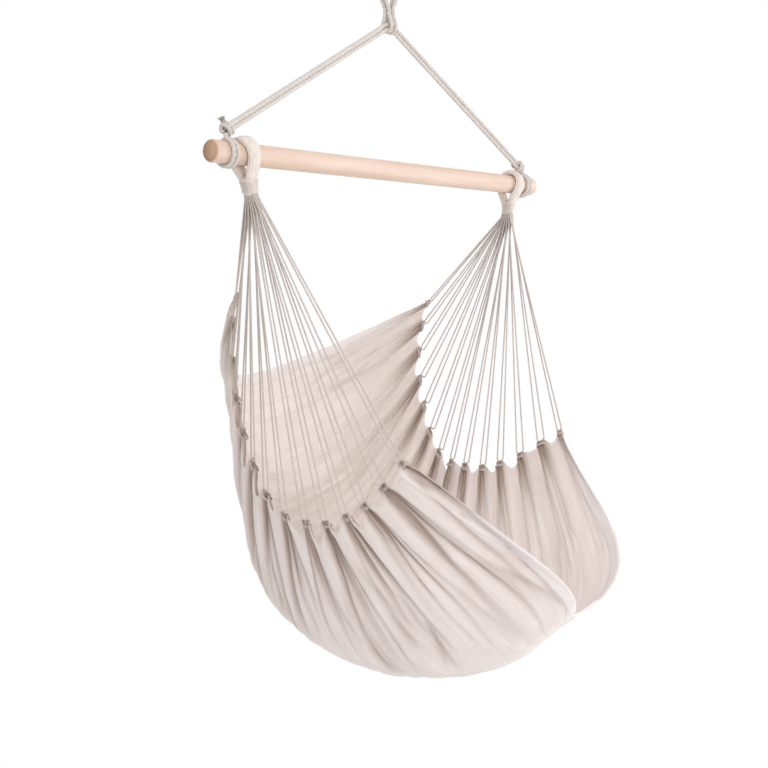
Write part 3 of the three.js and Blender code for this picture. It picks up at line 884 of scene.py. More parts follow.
# %% Where each fold runs
gaps = cords_per_side - 1
half_width_of_cloth = 0.52
middles = np.array([finger_place(i) for i in range(cords_per_side)])
halves = np.array([finger_half(i) for i in range(cords_per_side)])
scallop_shares = {-1: 0.031, 1: 0.017}
bulge_depth = 9.5 * mm
slit_starts, slit_run_share = np.array((-0.78, -0.27, 0.25, 0.76)), 0.3
valley_starts, valley_run_share = np.array((-0.8, -0.3, 0.3, 0.8)), 0.45
to_back = np.arange(cords_per_side)[:, None] / last_gather
valley_reach = {-1: 0.36, 1: 0.42 * (1 + 0.35 * to_back)}
loose_creases = 44
fold_rng = np.random.default_rng(11)

# The ranges of the draws: lengths in metres, places and widths counted in gathers.
slit_ranges = {
    "start": (-0.12, 0.12), "run": (-0.07, 0.07), "fan": (0.06, 0.13), "sway": (-0.03, 0.03),
    "depth": (0.0045, 0.0105), "length": (0.035, 0.12), "narrow": 0.19, "wide": (0.035, 0.065),
    "shade": (0.7, 1.2), "shade_width": 0.6}
valley_ranges = {
    "start": (-0.16, 0.16), "run": (-0.15, 0.15), "fan": (0.055, 0.15), "sway": (-0.09, 0.09),
    "depth": (0.0027, 0.0135), "length": (0.35, 1.25), "narrow": 0.2, "wide": (0.045, 0.13),
    "shade": (0.35, 0.9), "shade_width": (0.7, 1.3)}
loose_ranges = {
    "top": (0.025, 0.19), "length": (0.09, 0.26), "place": (0.2, last_gather - 0.2),
    "slope": (-2.6, 2.6), "depth": (0.0018, 0.0055), "width": (0.04, 0.09)}


def draw(ranges, each):
    """Draws every value from its range, in the order given; a single number is kept as it is."""
    return {key: fold_rng.uniform(*given, each) if isinstance(given, tuple) else np.full(each, given)
            for key, given in ranges.items()}


def draw_creases(ranges, starts, run_share, reach=1):
    """The creases that run down from the fingers: where each starts, where it runs to and how far."""
    drawn = draw(ranges, (cords_per_side, len(starts)))
    drawn["start"] += starts
    drawn["run"] += starts * run_share
    drawn["length"] *= reach
    return drawn


def draw_gaps(side):
    """The scallop and the bulge of the cloth between each two fingers; a few bulges turn inwards."""
    return {
        "scallop": fold_rng.uniform(0.3, 1.9, gaps) * scallop_shares[side],
        "scallop_skew": fold_rng.uniform(-0.5, 0.5, gaps),
        "bulge": fold_rng.uniform(0.5, 1.3, gaps) * fold_rng.choice((1, 1, 1, -0.45), gaps) * bulge_depth,
        "bulge_skew": fold_rng.uniform(-0.45, 0.45, gaps),
    }


creases = {side: (draw_creases(slit_ranges, slit_starts, slit_run_share),
                  draw_creases(valley_ranges, valley_starts, valley_run_share, valley_reach[side]))
           for side in (-1, 1)}
loose = {side: draw(loose_ranges, loose_creases) for side in (-1, 1)}
gap_draws = {side: draw_gaps(side) for side in (-1, 1)}


def gap_value(across, key, gap):
    return by_side(across, {side: drawn[key][gap] for side, drawn in gap_draws.items()})


def gap_of(place):
    """Which gap between two fingers a place lies in, and how far it is from one side of it to the other."""
    gap = np.clip(np.searchsorted(middles, place, side="right") - 1, 0, gaps - 1)
    width = middles[gap + 1] - middles[gap]
    inside = (place - middles[gap]) / width
    first, second = halves[gap] / width, halves[gap + 1] / width
    return gap, np.clip((inside - first) / (1 - first - second), 0, 1)


def finger_pull(place):
    """The place whose pull a point follows: a finger's own middle, and in between from one to the next."""
    gap, between = gap_of(place)
    return middles[gap] + (middles[gap + 1] - middles[gap]) * between


def nearest_finger(place):
    return abs(place[..., None] - middles).argmin(axis=-1)


def below_edge(across):
    """How far down from the nearer side edge a point lies on the flat cloth, in metres."""
    return (1 - abs(across)) * half_width_of_cloth


print("creases on each side", slit_starts.size * cords_per_side, "slits,",
      valley_starts.size * cords_per_side, "valleys and", loose_creases, "loose ones")


# %% Creases and bulges
crease_sharpness = 1.3
widening_reach = 75 * mm
growing_reach = 25 * mm
shade_reach = 240 * mm
sway_per_metre = 17
loose_full_shade = 14 * mm
# How strong the painted shade is: in the creases, on the bound tufts, along the right side's rim and over
# the back.
fold_shades = {-1: 1.1, 1: 0.28}
tuft_shades = {-1: 0.6, 1: 1.0}
rim_shades = {-1: 0.16, 1: 0}
tuft_reach = 55 * mm
tuft_width = 1.35
rim_reach = 100 * mm
back_shade = 0.08
back_start, back_steepness = 0.45, 3
bulge_fade_power = 2.2
bulge_rim_share = 0.4
bulge_rim_reach = 0.06


def crease_sum(drawn, place, below):
    """The depth of all creases of one kind on one side, and the painted shade in the bottom of each."""
    depth, dark = np.zeros_like(place), np.zeros_like(place)
    for i, k in np.ndindex(drawn["start"].shape):
        one = {key: values[i, k] for key, values in drawn.items()}
        top = middles[i] + one["start"] * halves[i]
        fanned = 1 - np.exp(-below / one["fan"])
        centre = top + (middles[i] + one["run"] - top) * fanned
        centre = centre + one["sway"] * np.sin(below * sway_per_metre + 7 * one["start"]) * fanned
        narrow = one["narrow"] * halves[i]
        width = narrow + (one["wide"] - narrow) * (1 - np.exp(-below / widening_reach))
        off = abs(place - centre) / width
        grown = (1 - 0.5 * np.exp(-below / growing_reach)) * np.exp(-((below / one["length"]) ** 2))
        depth += one["depth"] * grown * np.exp(-(off**crease_sharpness))
        faded = grown * np.exp(-below / shade_reach)
        dark += one["shade"] * faded * np.exp(-((off / one["shade_width"]) ** 2))
    return depth, dark


def loose_sum(drawn, place, below):
    """The same, depth and painted shade, for the loose creases, which fade at both ends."""
    depth = np.zeros_like(place)
    for k in range(loose_creases):
        one = {key: values[k] for key, values in drawn.items()}
        inside = np.clip((below - one["top"]) / one["length"], 0, 1)
        centre = one["place"] + one["slope"] * (below - one["top"])
        off = abs(place - centre) / one["width"]
        depth += one["depth"] * np.sin(math.pi * inside) ** 0.9 * np.exp(-(off**crease_sharpness))
    return depth, depth / loose_full_shade


def crease_heights(place, across):
    """All creases together, and the painted shade of the cloth: in its creases, on its tufts, along its rim
    and over its back.
    """
    below = below_edge(across)
    height, dark = np.zeros_like(place), np.zeros_like(place)
    for side in (-1, 1):
        here = (across >= 0) == (side > 0)
        sums = [crease_sum(drawn, place[here], below[here]) for drawn in creases[side]]
        for depth, shade in [*sums, loose_sum(loose[side], place[here], below[here])]:
            height[here] -= depth
            dark[here] += shade * fold_shades[side]
    # Painted shade on the bound tops of the fingers, along the rim and over the back.
    finger = nearest_finger(place)
    on_finger = np.exp(-(((place - middles[finger]) / halves[finger] / tuft_width) ** 4))
    dark = dark + by_side(across, tuft_shades) * on_finger * np.exp(-((below / tuft_reach) ** 1.6))
    dark = dark + by_side(across, rim_shades) * np.exp(-below / rim_reach)
    dark = dark + back_shade * np.clip(back_steepness * (place / last_gather - back_start), 0, 1)
    return height, np.clip(dark, 0, 1)


def bulge_height(place, across):
    """The round of each flute between two fingers, fading towards the seat's lowest line."""
    gap, between = gap_of(place)
    out = abs(across)
    crest = np.sin(math.pi * between ** np.exp(gap_value(across, "bulge_skew", gap))) ** 0.8
    at_rim = 1 - bulge_rim_share * np.exp(-(1 - out) / bulge_rim_reach)
    return gap_value(across, "bulge", gap) * crest * out**bulge_fade_power * at_rim


# %% Wrinkles and the whole folded sheet
flat_length = 1.25
flat_width = 1.0
lattice_cells = 64
soft_fold_height = 2.6 * mm
ridge_height = 1.3 * mm
slant_height = 0.55 * mm
edge_lift = 2.6 * mm
lashing_below = 7 * mm
lashing_reach = 6 * mm
lashing_squeeze = 0.4


def value_noise(x, y, seed):
    """Smooth noise between -1 and 1 on a lattice of unit cells."""
    lattice = np.random.default_rng(seed).uniform(-1, 1, (lattice_cells, lattice_cells))
    cell_x, cell_y = np.floor(x).astype(int), np.floor(y).astype(int)
    tx, ty = x - cell_x, y - cell_y
    tx, ty = tx * tx * (3 - 2 * tx), ty * ty * (3 - 2 * ty)
    near, far = (
        lattice[cell_x % lattice_cells, (cell_y + j) % lattice_cells] * (1 - tx)
        + lattice[(cell_x + 1) % lattice_cells, (cell_y + j) % lattice_cells] * tx for j in (0, 1))
    return near * (1 - ty) + far * ty


def wrinkle_height(place, across):
    """Soft folds, ridges and slanting creases over the whole cloth, drawn out along the cords' pull."""
    x = place / last_gather * flat_length
    y = across * half_width_of_cloth
    out = abs(across)
    slack = out * (1 - out) * 4
    soft = value_noise(x * 21 + 3 * value_noise(x * 4, y * 5, 1), y * 3.2 + 40, 2)
    ridged = 1 - 2 * abs(value_noise(x * 34 + 9 + 2.2 * value_noise(x * 6, y * 7, 3), y * 6 + 20, 4))
    slant = value_noise((x + 0.55 * y) * 52, (y - 0.55 * x) * 17, 5)
    slant = slant + value_noise((x - 0.6 * y) * 47, y * 19, 6)
    height = soft_fold_height * soft * slack + ridge_height * ridged * (0.35 + slack) / 1.35
    return (height + slant_height * slant) * (1 - 0.9 * np.exp(-(1 - out) / 0.04))


def pinched(place, across):
    """The place each point is drawn to where a lashing squeezes the top of its finger."""
    finger = nearest_finger(place)
    off = place - middles[finger]
    squeeze = lashing_squeeze * np.exp(-(((below_edge(across) - lashing_below) / lashing_reach) ** 2))
    return place - off * squeeze * np.exp(-((off / halves[finger] / 1.25) ** 4))


def seat_sheet(place, across):
    """The folded cloth's middle: its points, the smooth seat's normals and its painted shade."""
    place, across = np.broadcast_arrays(np.asarray(place, float), np.asarray(across, float))
    gap, between = gap_of(place)
    notch = np.sin(math.pi * between ** np.exp(gap_value(across, "scallop_skew", gap))) ** 0.8
    drawn_in = across * (1 - notch * gap_value(across, "scallop", gap))
    creased, dark = crease_heights(place, across)
    height = creased + bulge_height(place, across) + wrinkle_height(place, across) + edge_lift * abs(across)
    pull = finger_pull(place)
    normal = seat_normal(place, drawn_in, pull)
    return smooth_seat(pinched(place, across), drawn_in, pull) + normal * height[..., None], normal, dark


# %% The sheet's grid and its mesh
cloth_thickness = 1.3 * mm
hem_thickness = 3 * mm
side_hem = 9 * mm
finger_rows = 13
gap_rows = 16
half_columns = 68
column_crowding = 1.35


def sheet_places():
    """Rows from the front hem to the back hem, close together in the fingers."""
    places = []
    for i in range(cords_per_side):
        low, high = middles[i] - halves[i], middles[i] + halves[i]
        places += np.linspace(low, high, finger_rows).tolist()
        if i < gaps:
            places += np.linspace(high, middles[i + 1] - halves[i + 1], gap_rows)[1:-1].tolist()
    return np.array(sorted(places))


def sheet_acrosses():
    """Columns from the right edge to the left edge, close together near both edges."""
    half = 1 - (1 - np.linspace(0, 1, half_columns)) ** column_crowding
    return np.r_[-half[::-1], half[1:]]


def give_painted_shade(piece, tones):
    """Keeps the painted shade of the folds at each point of a mesh, for the finish to read."""
    layer = piece.data.attributes.new("painted_fold_shade", "FLOAT", "POINT")
    layer.data.foreach_set("value", tones.ravel())


def sheet_mesh():
    place, across = np.meshgrid(sheet_places(), sheet_acrosses(), indexing="ij")
    rows, columns = place.shape
    points, _, tones = seat_sheet(place, across)
    r, c = np.meshgrid(np.arange(rows - 1), np.arange(columns - 1), indexing="ij")
    first = (r * columns + c).ravel()
    faces = np.stack([first, first + columns, first + columns + 1, first + 1], axis=1)
    flat = np.stack([place / last_gather * flat_length, (across + 1) / 2 * flat_width], -1).reshape(-1, 2)
    cloth = mesh_piece("cotton_seat_cloth", points.reshape(-1, 3), faces.tolist(), flat[faces.ravel()])
    give_painted_shade(cloth, tones)
    weights = cloth.vertex_groups.new(name="hem")
    weights.add(range(rows * columns), cloth_thickness / hem_thickness, "REPLACE")
    weights.add(np.flatnonzero(below_edge(across).ravel() < side_hem).tolist(), 1.0, "REPLACE")
    return cloth


seat_cloth = sheet_mesh()
bpy.context.view_layer.objects.active = seat_cloth
thicken = seat_cloth.modifiers.new("thickness", "SOLIDIFY")
thicken.thickness = hem_thickness
thicken.offset = 0
thicken.vertex_group = "hem"
seat_cloth.select_set(True)
bpy.ops.object.modifier_apply(modifier="thickness")
seat_cloth.select_set(False)
own_finish(seat_cloth, cloth_finish, "seat", "seat_cloth", "seat_cloth")
print("cloth", len(seat_cloth.data.polygons), "faces")

# %% [markdown]
# ## The lashings
#
# A cord that only lay over the top of a gather would pull off. On a real chair each gather is bunched
# and bound with a turn or two of cord, which also gives the fingers their waist. Each lashing is a
# short winding that is fitted to the bunch it goes round, so it is measured from the folded cloth.

# %% Lashings
lashing_diameter = 2.7 * mm
lashing_turns = 2.1
lashing_pitch = 2.9 * mm
lashing_step = 1.8 * mm
lashing_sink_share = 0.3


def lashing_route(side, index):
    """Turns round one bunched finger, a little below its top."""
    middle, half = finger_place(index), finger_half(index)
    across = side * (1 - lashing_below / half_width_of_cloth)
    bunch, normals, _ = seat_sheet(np.linspace(middle - half, middle + half, 25), across)
    along, out = unit(bunch[-1] - bunch[0]), unit(normals[12])
    down = np.cross(along, out)
    down = down * np.sign(down @ pull_way(side, middle))
    flat = np.stack([(bunch - bunch[12]) @ along, (bunch - bunch[12]) @ out], axis=1)
    low, high = flat.min(axis=0), flat.max(axis=0)
    centre = bunch[12] + along * (low + high)[0] / 2 + out * (low + high)[1] / 2
    reach = (high - low) / 2 + hem_thickness / 2 + lashing_diameter * lashing_sink_share
    angles = np.linspace(0, 2 * math.pi * lashing_turns, 64)
    wide, deep = squarish(angles, 0.8)
    drop = lashing_pitch * (angles / (2 * math.pi) - lashing_turns / 2)
    return centre + np.outer(wide * reach[0], along) + np.outer(deep * reach[1], out) + np.outer(drop, down)


lashings = []
for side, side_name in both_sides:
    routes = [even_route(lashing_route(side, index), lashing_step, 1) for index in range(cords_per_side)]
    turns = [laid_rope("lashing", route, lashing_diameter, cord_lay, sides=cord_sides) for route in routes]
    lashing = joined("cotton_lashings_" + side_name, turns)
    lashings.append(own_finish(lashing, cord_finish, "seat", "clew_cord"))
print("lashings", [len(piece.data.polygons) for piece in lashings])

# %% [markdown]
# ## The hems and their stitches
#
# The front and the back of the cloth are folded over and sewn down as wide hems. A hem could be a
# thicker band of the same sheet, but its folded edge is rounder and its sewn edge steps down to the
# cloth. So each hem is its own closed band that follows the folded sheet. The stitches are small
# rounded bars on the hem's line, modelled once in shape and repeated.

# %% Hem bands
hem_probe = 0.25
hem_pucker = 0.9 * mm
hem_tip = (-0.5, 0)
hem_half_section = [  # how far in from the folded edge, and how far off the cloth's middle, in mm
    (24, 0.75), (23.4, 1.6), (20.5, 1.8), (16, 2.1), (10, 2.4), (5, 2.5), (1.8, 2.1), (0.2, 1.1)]


def hem_reading(end, acrosses, inwards):
    """The sheet a given distance in from the front or the back edge: points, normals and painted shade."""
    edge_place, way = (0.0, 1) if end == "front" else (float(last_gather), -1)
    at_edge, probe = (np.full_like(acrosses, place) for place in (edge_place, edge_place + way * hem_probe))
    start, inner = (smooth_seat(place, acrosses, place) for place in (at_edge, probe))
    metric = np.linalg.norm(inner - start, axis=-1) / hem_probe
    points, normals, tones = seat_sheet(edge_place + way * np.maximum(inwards, 0) / metric, acrosses)
    points = points + unit(start - inner) * np.maximum(-inwards, 0)[..., None]
    pucker = value_noise(acrosses * 62 + way * 5, inwards * 30 + 3, 9) * hem_pucker
    return points + normals * pucker[..., None], normals, tones


def hem_band(end):
    acrosses = sheet_acrosses()
    section = [*hem_half_section, hem_tip, *((inwards, -off) for inwards, off in hem_half_section[::-1])]
    rings, tones = [], []
    for inwards, off in section:
        points, normals, tone = hem_reading(end, acrosses, np.full_like(acrosses, inwards * mm))
        rings.append(points + normals * off * mm)
        tones.append(tone)
    rings, tones = np.stack(rings, axis=1), np.stack(tones, axis=1)
    if end == "back":
        rings, tones = rings[:, ::-1], tones[:, ::-1]
    middle = rings.mean(axis=1)
    band = swept_tube(f"cotton_hem_{end}", middle, route_ways(middle), rings)
    give_painted_shade(band, np.r_[tones.ravel(), np.repeat((tones[0].mean(), tones[-1].mean()), len(section) + 1)])
    return band


stitch_pitch = 6.5 * mm
stitch_length = 4.6 * mm
stitch_thickness = 0.9 * mm
stitch_inset = 20.5 * mm
stitch_lift = 1.85 * mm
stitch_sides = 6
stitch_rings = (  # along the stitch, its size there, and how high it stands, as shares
    (-0.5, 0.35, -0.6), (-0.28, 1, 0.1), (0.28, 1, 0.1), (0.5, 0.35, -0.6))


def stitch_line(name, points, ways, normals):
    """Small rounded stitches, each along the seam and a little proud of the cloth."""
    corners, faces = [], []
    angles = 2 * math.pi * np.arange(stitch_sides) / stitch_sides
    radius = stitch_thickness / 2
    last_ring = (len(stitch_rings) - 1) * stitch_sides
    for point, way, normal in zip(points, ways, normals):
        beside = np.cross(way, normal)
        base = len(corners)
        for along, size, lift in stitch_rings:
            centre = point + way * along * stitch_length + normal * lift * radius
            out = np.outer(np.cos(angles), normal) + np.outer(np.sin(angles), beside)
            corners += list(centre + out * radius * size)
        for ring in range(base, base + last_ring, stitch_sides):
            for k in range(stitch_sides):
                a, b = ring + k, ring + (k + 1) % stitch_sides
                faces.append([a + stitch_sides, b + stitch_sides, b, a])
        faces.append([base + k for k in range(stitch_sides)])
        faces.append([base + last_ring + k for k in range(stitch_sides)][::-1])
    return mesh_piece(name, corners, faces)


def hem_stitches(end):
    """The seam's stitches on both faces of a hem, at an even pitch."""
    lines = []
    fine = np.linspace(-0.985, 0.985, 1600)
    middle, normals, _ = hem_reading(end, fine, np.full_like(fine, stitch_inset))
    for face in (1, -1):
        points = middle + normals * face * stitch_lift
        lengths = route_lengths(points)
        places = np.arange(stitch_pitch, lengths[-1], stitch_pitch)
        at = read_along(places, lengths, points)
        up = unit(read_along(places, lengths, normals * face))
        way = route_ways(at)
        up = unit(up - way * (up * way).sum(-1, keepdims=True))
        lines.append(stitch_line(f"stitches_{end}", at, way, up))
    return joined(f"thread_hem_{end}", lines)


hems = []
for end in ("front", "back"):
    band = own_finish(hem_band(end), hem_finish, "seat", "seat_cloth")
    sewing = own_finish(hem_stitches(end), thread_finish, "seat", "seat_cloth")
    hems += [band, sewing]
print("hems", [len(piece.data.polygons) for piece in hems])

# %% [markdown]
# ## Finishes
#
# The whole chair is undyed cotton and pale wood, so the finishes differ in their thread and grain far
# more than in their colour. What several of them share is kept in node groups, built once: a plain
# weave for cloth, and spun fibre for cords and rope. Each group only gives out tones and a height.
# The shader itself stays in the material. The helpers take a number, a colour or another node's
# output, so that a finish reads as a few lines of mixing.

# %% Small helpers for nodes
def fill(tree, node, given):
    """Puts numbers, colours or links into a node's sockets, by their names or their places."""
    for key, value in given.items():
        if isinstance(value, (int, float, tuple)):
            node.inputs[key].default_value = value
        else:
            tree.links.new(value, node.inputs[key])
    return node


def add_node(tree, kind, given=None, **settings):
    node = tree.nodes.new(kind)
    for key, value in settings.items():
        setattr(node, key, value)
    return fill(tree, node, given or {})


def calculate(tree, operation, *values):
    return add_node(tree, "ShaderNodeMath", dict(enumerate(values)), operation=operation).outputs[0]


def times(tree, first, second):
    return calculate(tree, "MULTIPLY", first, second)


def plus(tree, first, second):
    return calculate(tree, "ADD", first, second)


def noise_of(tree, spot, scale, detail=2.0, roughness=0.5):
    """Noise at a scale; a scale of three numbers draws it out along an axis."""
    if isinstance(scale, tuple):
        spot = add_node(tree, "ShaderNodeMapping", {"Vector": spot, "Scale": scale}).outputs["Vector"]
        scale = 1.0
    noise = {"Vector": spot, "Scale": scale, "Detail": detail, "Roughness": roughness}
    return add_node(tree, "ShaderNodeTexNoise", noise).outputs["Fac"]


def parts_of(tree, vector):
    return add_node(tree, "ShaderNodeSeparateXYZ", {0: vector}).outputs


def new_group(name, inputs, outputs):
    """A node group with a vector input, some number inputs and some number outputs."""
    group = bpy.data.node_groups.new(name, "ShaderNodeTree")
    for label, value in inputs.items():
        kind = "NodeSocketVector" if value is None else "NodeSocketFloat"
        socket = group.interface.new_socket(label, in_out="INPUT", socket_type=kind)
        if value is not None:
            socket.default_value = value
    for label in outputs:
        group.interface.new_socket(label, in_out="OUTPUT", socket_type="NodeSocketFloat")
    return group, add_node(group, "NodeGroupInput").outputs, add_node(group, "NodeGroupOutput")


# %% The plain weave group
slub_scales = ((420, 11, 1), (11, 420, 1))
warp_share = 0.75
check_per_metre = 36.0
check_half_width = 0.055


def build_weave():
    """Plain weave on a flat map in metres: each thread goes over one and under the next."""
    group, given, result = new_group("plain_weave", {"Flat Map": None, "Threads per Metre": 700.0},
                                     ("Height", "Slub", "Check"))
    parts = parts_of(group, given["Flat Map"])
    waves, cells, lines = [], [], []
    for axis in (0, 1):
        thread = times(group, parts[axis], given["Threads per Metre"])
        cells.append(calculate(group, "FLOOR", thread))
        wave = calculate(group, "SINE", times(group, thread, math.pi))
        waves.append(calculate(group, "ABSOLUTE", wave))
        step = calculate(group, "FRACT", times(group, parts[axis], check_per_metre))
        off = calculate(group, "ABSOLUTE", calculate(group, "SUBTRACT", step, 0.5))
        lines.append(calculate(group, "LESS_THAN", off, check_half_width))
    parity = calculate(group, "MODULO", plus(group, *cells), 2.0)
    parity = calculate(group, "ABSOLUTE", parity)
    over = add_node(group, "ShaderNodeMix", {0: parity, 2: waves[0], 3: waves[1]}, data_type="FLOAT")
    warp, weft = (noise_of(group, given["Flat Map"], scale) for scale in slub_scales)
    slub = plus(group, times(group, warp, warp_share), times(group, weft, 1 - warp_share))
    check = calculate(group, "MAXIMUM", *lines)
    fill(group, result, {"Height": over.outputs[0], "Slub": slub, "Check": check})
    return group


weave_group = build_weave()
print("plain weave", len(weave_group.nodes), "nodes")

# %% The spun fibre group
def build_fibre():
    """Spun cotton on a map of turns round and metres along: fine fibres that lean with the twist."""
    group, given, result = new_group(
        "spun_fibre", {"Rope Map": None, "Round": 26.0, "Along": 60.0, "Lean": 40.0}, ("Height", "Tone"))
    turns, metres, _ = parts_of(group, given["Rope Map"])
    angle = times(group, plus(group, turns, times(group, metres, given["Lean"])), 2 * math.pi)
    x, y = (times(group, times(group, calculate(group, way, angle), given["Round"]), 1 / (2 * math.pi))
            for way in ("COSINE", "SINE"))
    ring = add_node(group, "ShaderNodeCombineXYZ", {0: x, 1: y, 2: times(group, metres, given["Along"])})
    slow = add_node(group, "ShaderNodeCombineXYZ", {2: times(group, metres, 9.0)})
    fill(group, result, {"Height": noise_of(group, ring.outputs[0], 1.6, 3.0, 0.65),
                         "Tone": noise_of(group, slow.outputs[0], 1.0)})
    return group


fibre_group = build_fibre()
print("spun fibre", len(fibre_group.nodes), "nodes")

# %% Putting a finish together
def srgb(red, green, blue):
    """A colour read off in 0 to 255 steps, as Blender's linear colour."""
    def linear(value):
        share = value / 255
        return share / 12.92 if share <= 0.04045 else ((share + 0.055) / 1.055) ** 2.4
    return (*map(linear, (red, green, blue)), 1.0)


def blend_colours(tree, share, first, second):
    given = {0: share, 6: first, 7: second}
    return add_node(tree, "ShaderNodeMix", given, data_type="RGBA").outputs[2]


def from_range(tree, value, low, high, to_low=0.0, to_high=1.0):
    given = dict(enumerate((value, low, high, to_low, to_high)))
    return add_node(tree, "ShaderNodeMapRange", given).outputs[0]


def relief(tree, height, strength, distance, **under):
    """A normal that rises and falls with a height, on top of another normal where one is given."""
    given = {"Height": height, "Strength": strength, "Distance": distance, **under}
    return add_node(tree, "ShaderNodeBump", given).outputs["Normal"]


def shader_of(finish, roughness, sheen=0.0, gloss=0.25):
    shader = finish.node_tree.nodes["Principled BSDF"]
    return fill(finish.node_tree, shader, {"Roughness": roughness, "Specular IOR Level": gloss,
                                           "Sheen Weight": sheen, "Sheen Roughness": 0.5})


def mixed_surface(tree, share, first, second):
    """Lets a finish show two shaders, the second by the given share."""
    mix = add_node(tree, "ShaderNodeMixShader", {0: share, 1: first.outputs[0], 2: second.outputs[0]})
    fill(tree, tree.nodes["Material Output"], {"Surface": mix.outputs[0]})


def group_reading_map(tree, group, numbers=None):
    """The outputs of a group that reads the piece's own map, which is its first input, and numbers."""
    own_map = add_node(tree, "ShaderNodeUVMap", uv_map="UVMap").outputs[0]
    given = {0: own_map, **(numbers or {})}
    return add_node(tree, "ShaderNodeGroup", given, node_tree=group).outputs

# %% [markdown]
# ### Cotton cord, rope and eye
#
# Undyed cotton is a warm white. It looks greyer and browner in the grooves, where dust gathers and
# shade falls, so the finish mixes in a darker tone by the fibre noise: dust, and painted shade. Cord,
# rope, cut rope end and eye share the fibre group and differ in the scale of their yarn. The cut end
# is painted darker and greyer than the rope: painted shade, as it sits in the knot's shadow, and the
# dust that its spread yarns hold.

# %% Cord and rope finishes
def cotton_yarn(finish, light, dark, fibres_round, fibres_along, lean, depth):
    tree = finish.node_tree
    fibre = group_reading_map(tree, fibre_group, {
        "Round": fibres_round, "Along": fibres_along, "Lean": lean})
    # The darker tone where the fibre is low stands for dust and is also painted shade.
    share = from_range(tree, fibre["Height"], 0.3, 0.62)
    tone = from_range(tree, fibre["Tone"], 0.3, 0.7, 0.0, 0.35)
    colour = blend_colours(tree, tone, blend_colours(tree, share, dark, light), dark)
    normal = relief(tree, fibre["Height"], 0.5, depth)
    fill(tree, shader_of(finish, 0.88, sheen=0.15), {"Base Color": colour, "Normal": normal})


cotton_yarn(cord_finish, srgb(226, 216, 209), srgb(184, 169, 159), 14, 240, -1 / cord_lay, 0.25 * mm)
cotton_yarn(rope_finish, srgb(224, 216, 209), srgb(186, 176, 168), 30, 150, -1 / rope_lay, 0.5 * mm)
# The cut end's darker colours are painted shade from the knot, with dust.
cotton_yarn(tail_finish, srgb(196, 187, 179), srgb(146, 136, 128), 30, 150, -1 / rope_lay, 0.5 * mm)
cotton_yarn(eye_finish, srgb(236, 225, 216), srgb(204, 190, 179), 60, 60, 2.0, 0.4 * mm)

# %% [markdown]
# ### Cotton cloth
#
# The seat is a loose plain weave with uneven yarn. Its flat map is in metres of cut cloth, so the
# threads keep their size wherever the cloth is gathered. The cloth is thin enough to let light
# through, so about a third of its shading is translucent, and the doubled hems let hardly any
# through. A warmer, darker tone is painted into the folds, the bound tufts, the rim, the back and the
# hems: it is painted shade.

# %% Cloth finishes
check_strength = 0.12
painted_shade_strength = 0.75


def cotton_cloth(finish, light, dark, shade, through):
    tree = finish.node_tree
    weave = group_reading_map(tree, weave_group)
    colour = blend_colours(tree, from_range(tree, weave["Slub"], 0.36, 0.66), dark, light)
    colour = blend_colours(tree, times(tree, weave["Check"], check_strength), colour, dark)
    # The painted shade of the folds, tufts, rim and back mixes in the warmer, darker shade colour.
    fold = add_node(tree, "ShaderNodeAttribute", attribute_name="painted_fold_shade").outputs["Fac"]
    colour = blend_colours(tree, times(tree, fold, painted_shade_strength), colour, shade)
    uneven = relief(tree, weave["Slub"], 0.35, 1.2 * mm)
    normal = relief(tree, weave["Height"], 0.3, 0.35 * mm, Normal=uneven)
    shader = fill(tree, shader_of(finish, 0.92, sheen=0.2), {
        "Base Color": colour, "Normal": normal,
        "Roughness": from_range(tree, weave["Height"], 0.0, 1.0, 0.96, 0.86)})
    glow = add_node(tree, "ShaderNodeBsdfTranslucent", {"Color": colour, "Normal": normal})
    mixed_surface(tree, through, shader, glow)


cotton_cloth(cloth_finish, srgb(252, 248, 245), srgb(242, 232, 226), srgb(170, 142, 121), 0.36)
cotton_cloth(hem_finish, srgb(252, 246, 242), srgb(240, 229, 223), srgb(168, 143, 126), 0.05)


def plain_thread(finish):
    tree = finish.node_tree
    grain = noise_of(tree, add_node(tree, "ShaderNodeTexCoord").outputs["Object"], 900.0)
    fill(tree, shader_of(finish, 0.8, sheen=0.1), {
        "Base Color": blend_colours(tree, grain, srgb(226, 214, 204), srgb(246, 240, 234)),
        "Normal": relief(tree, grain, 0.3, 0.1 * mm)})


plain_thread(thread_finish)

# %% [markdown]
# ### Pale wood
#
# The bar is turned from one straight-grained board, so its year rings are close to flat sheets along
# the rod. A solid pattern on Object coordinates shows them as long streaks on the side and as arcs on
# the ends, without any map. Short dark flecks are what tells beech from pine. The ends are darker than
# the side, partly for the end grain's own tone and partly as painted shade, and a painted shadow
# darkens each end most towards -X.

# %% Wood finish
ring_scale = 1900.0
ring_wander = 13.0
end_grain_depth = 2.5 * mm


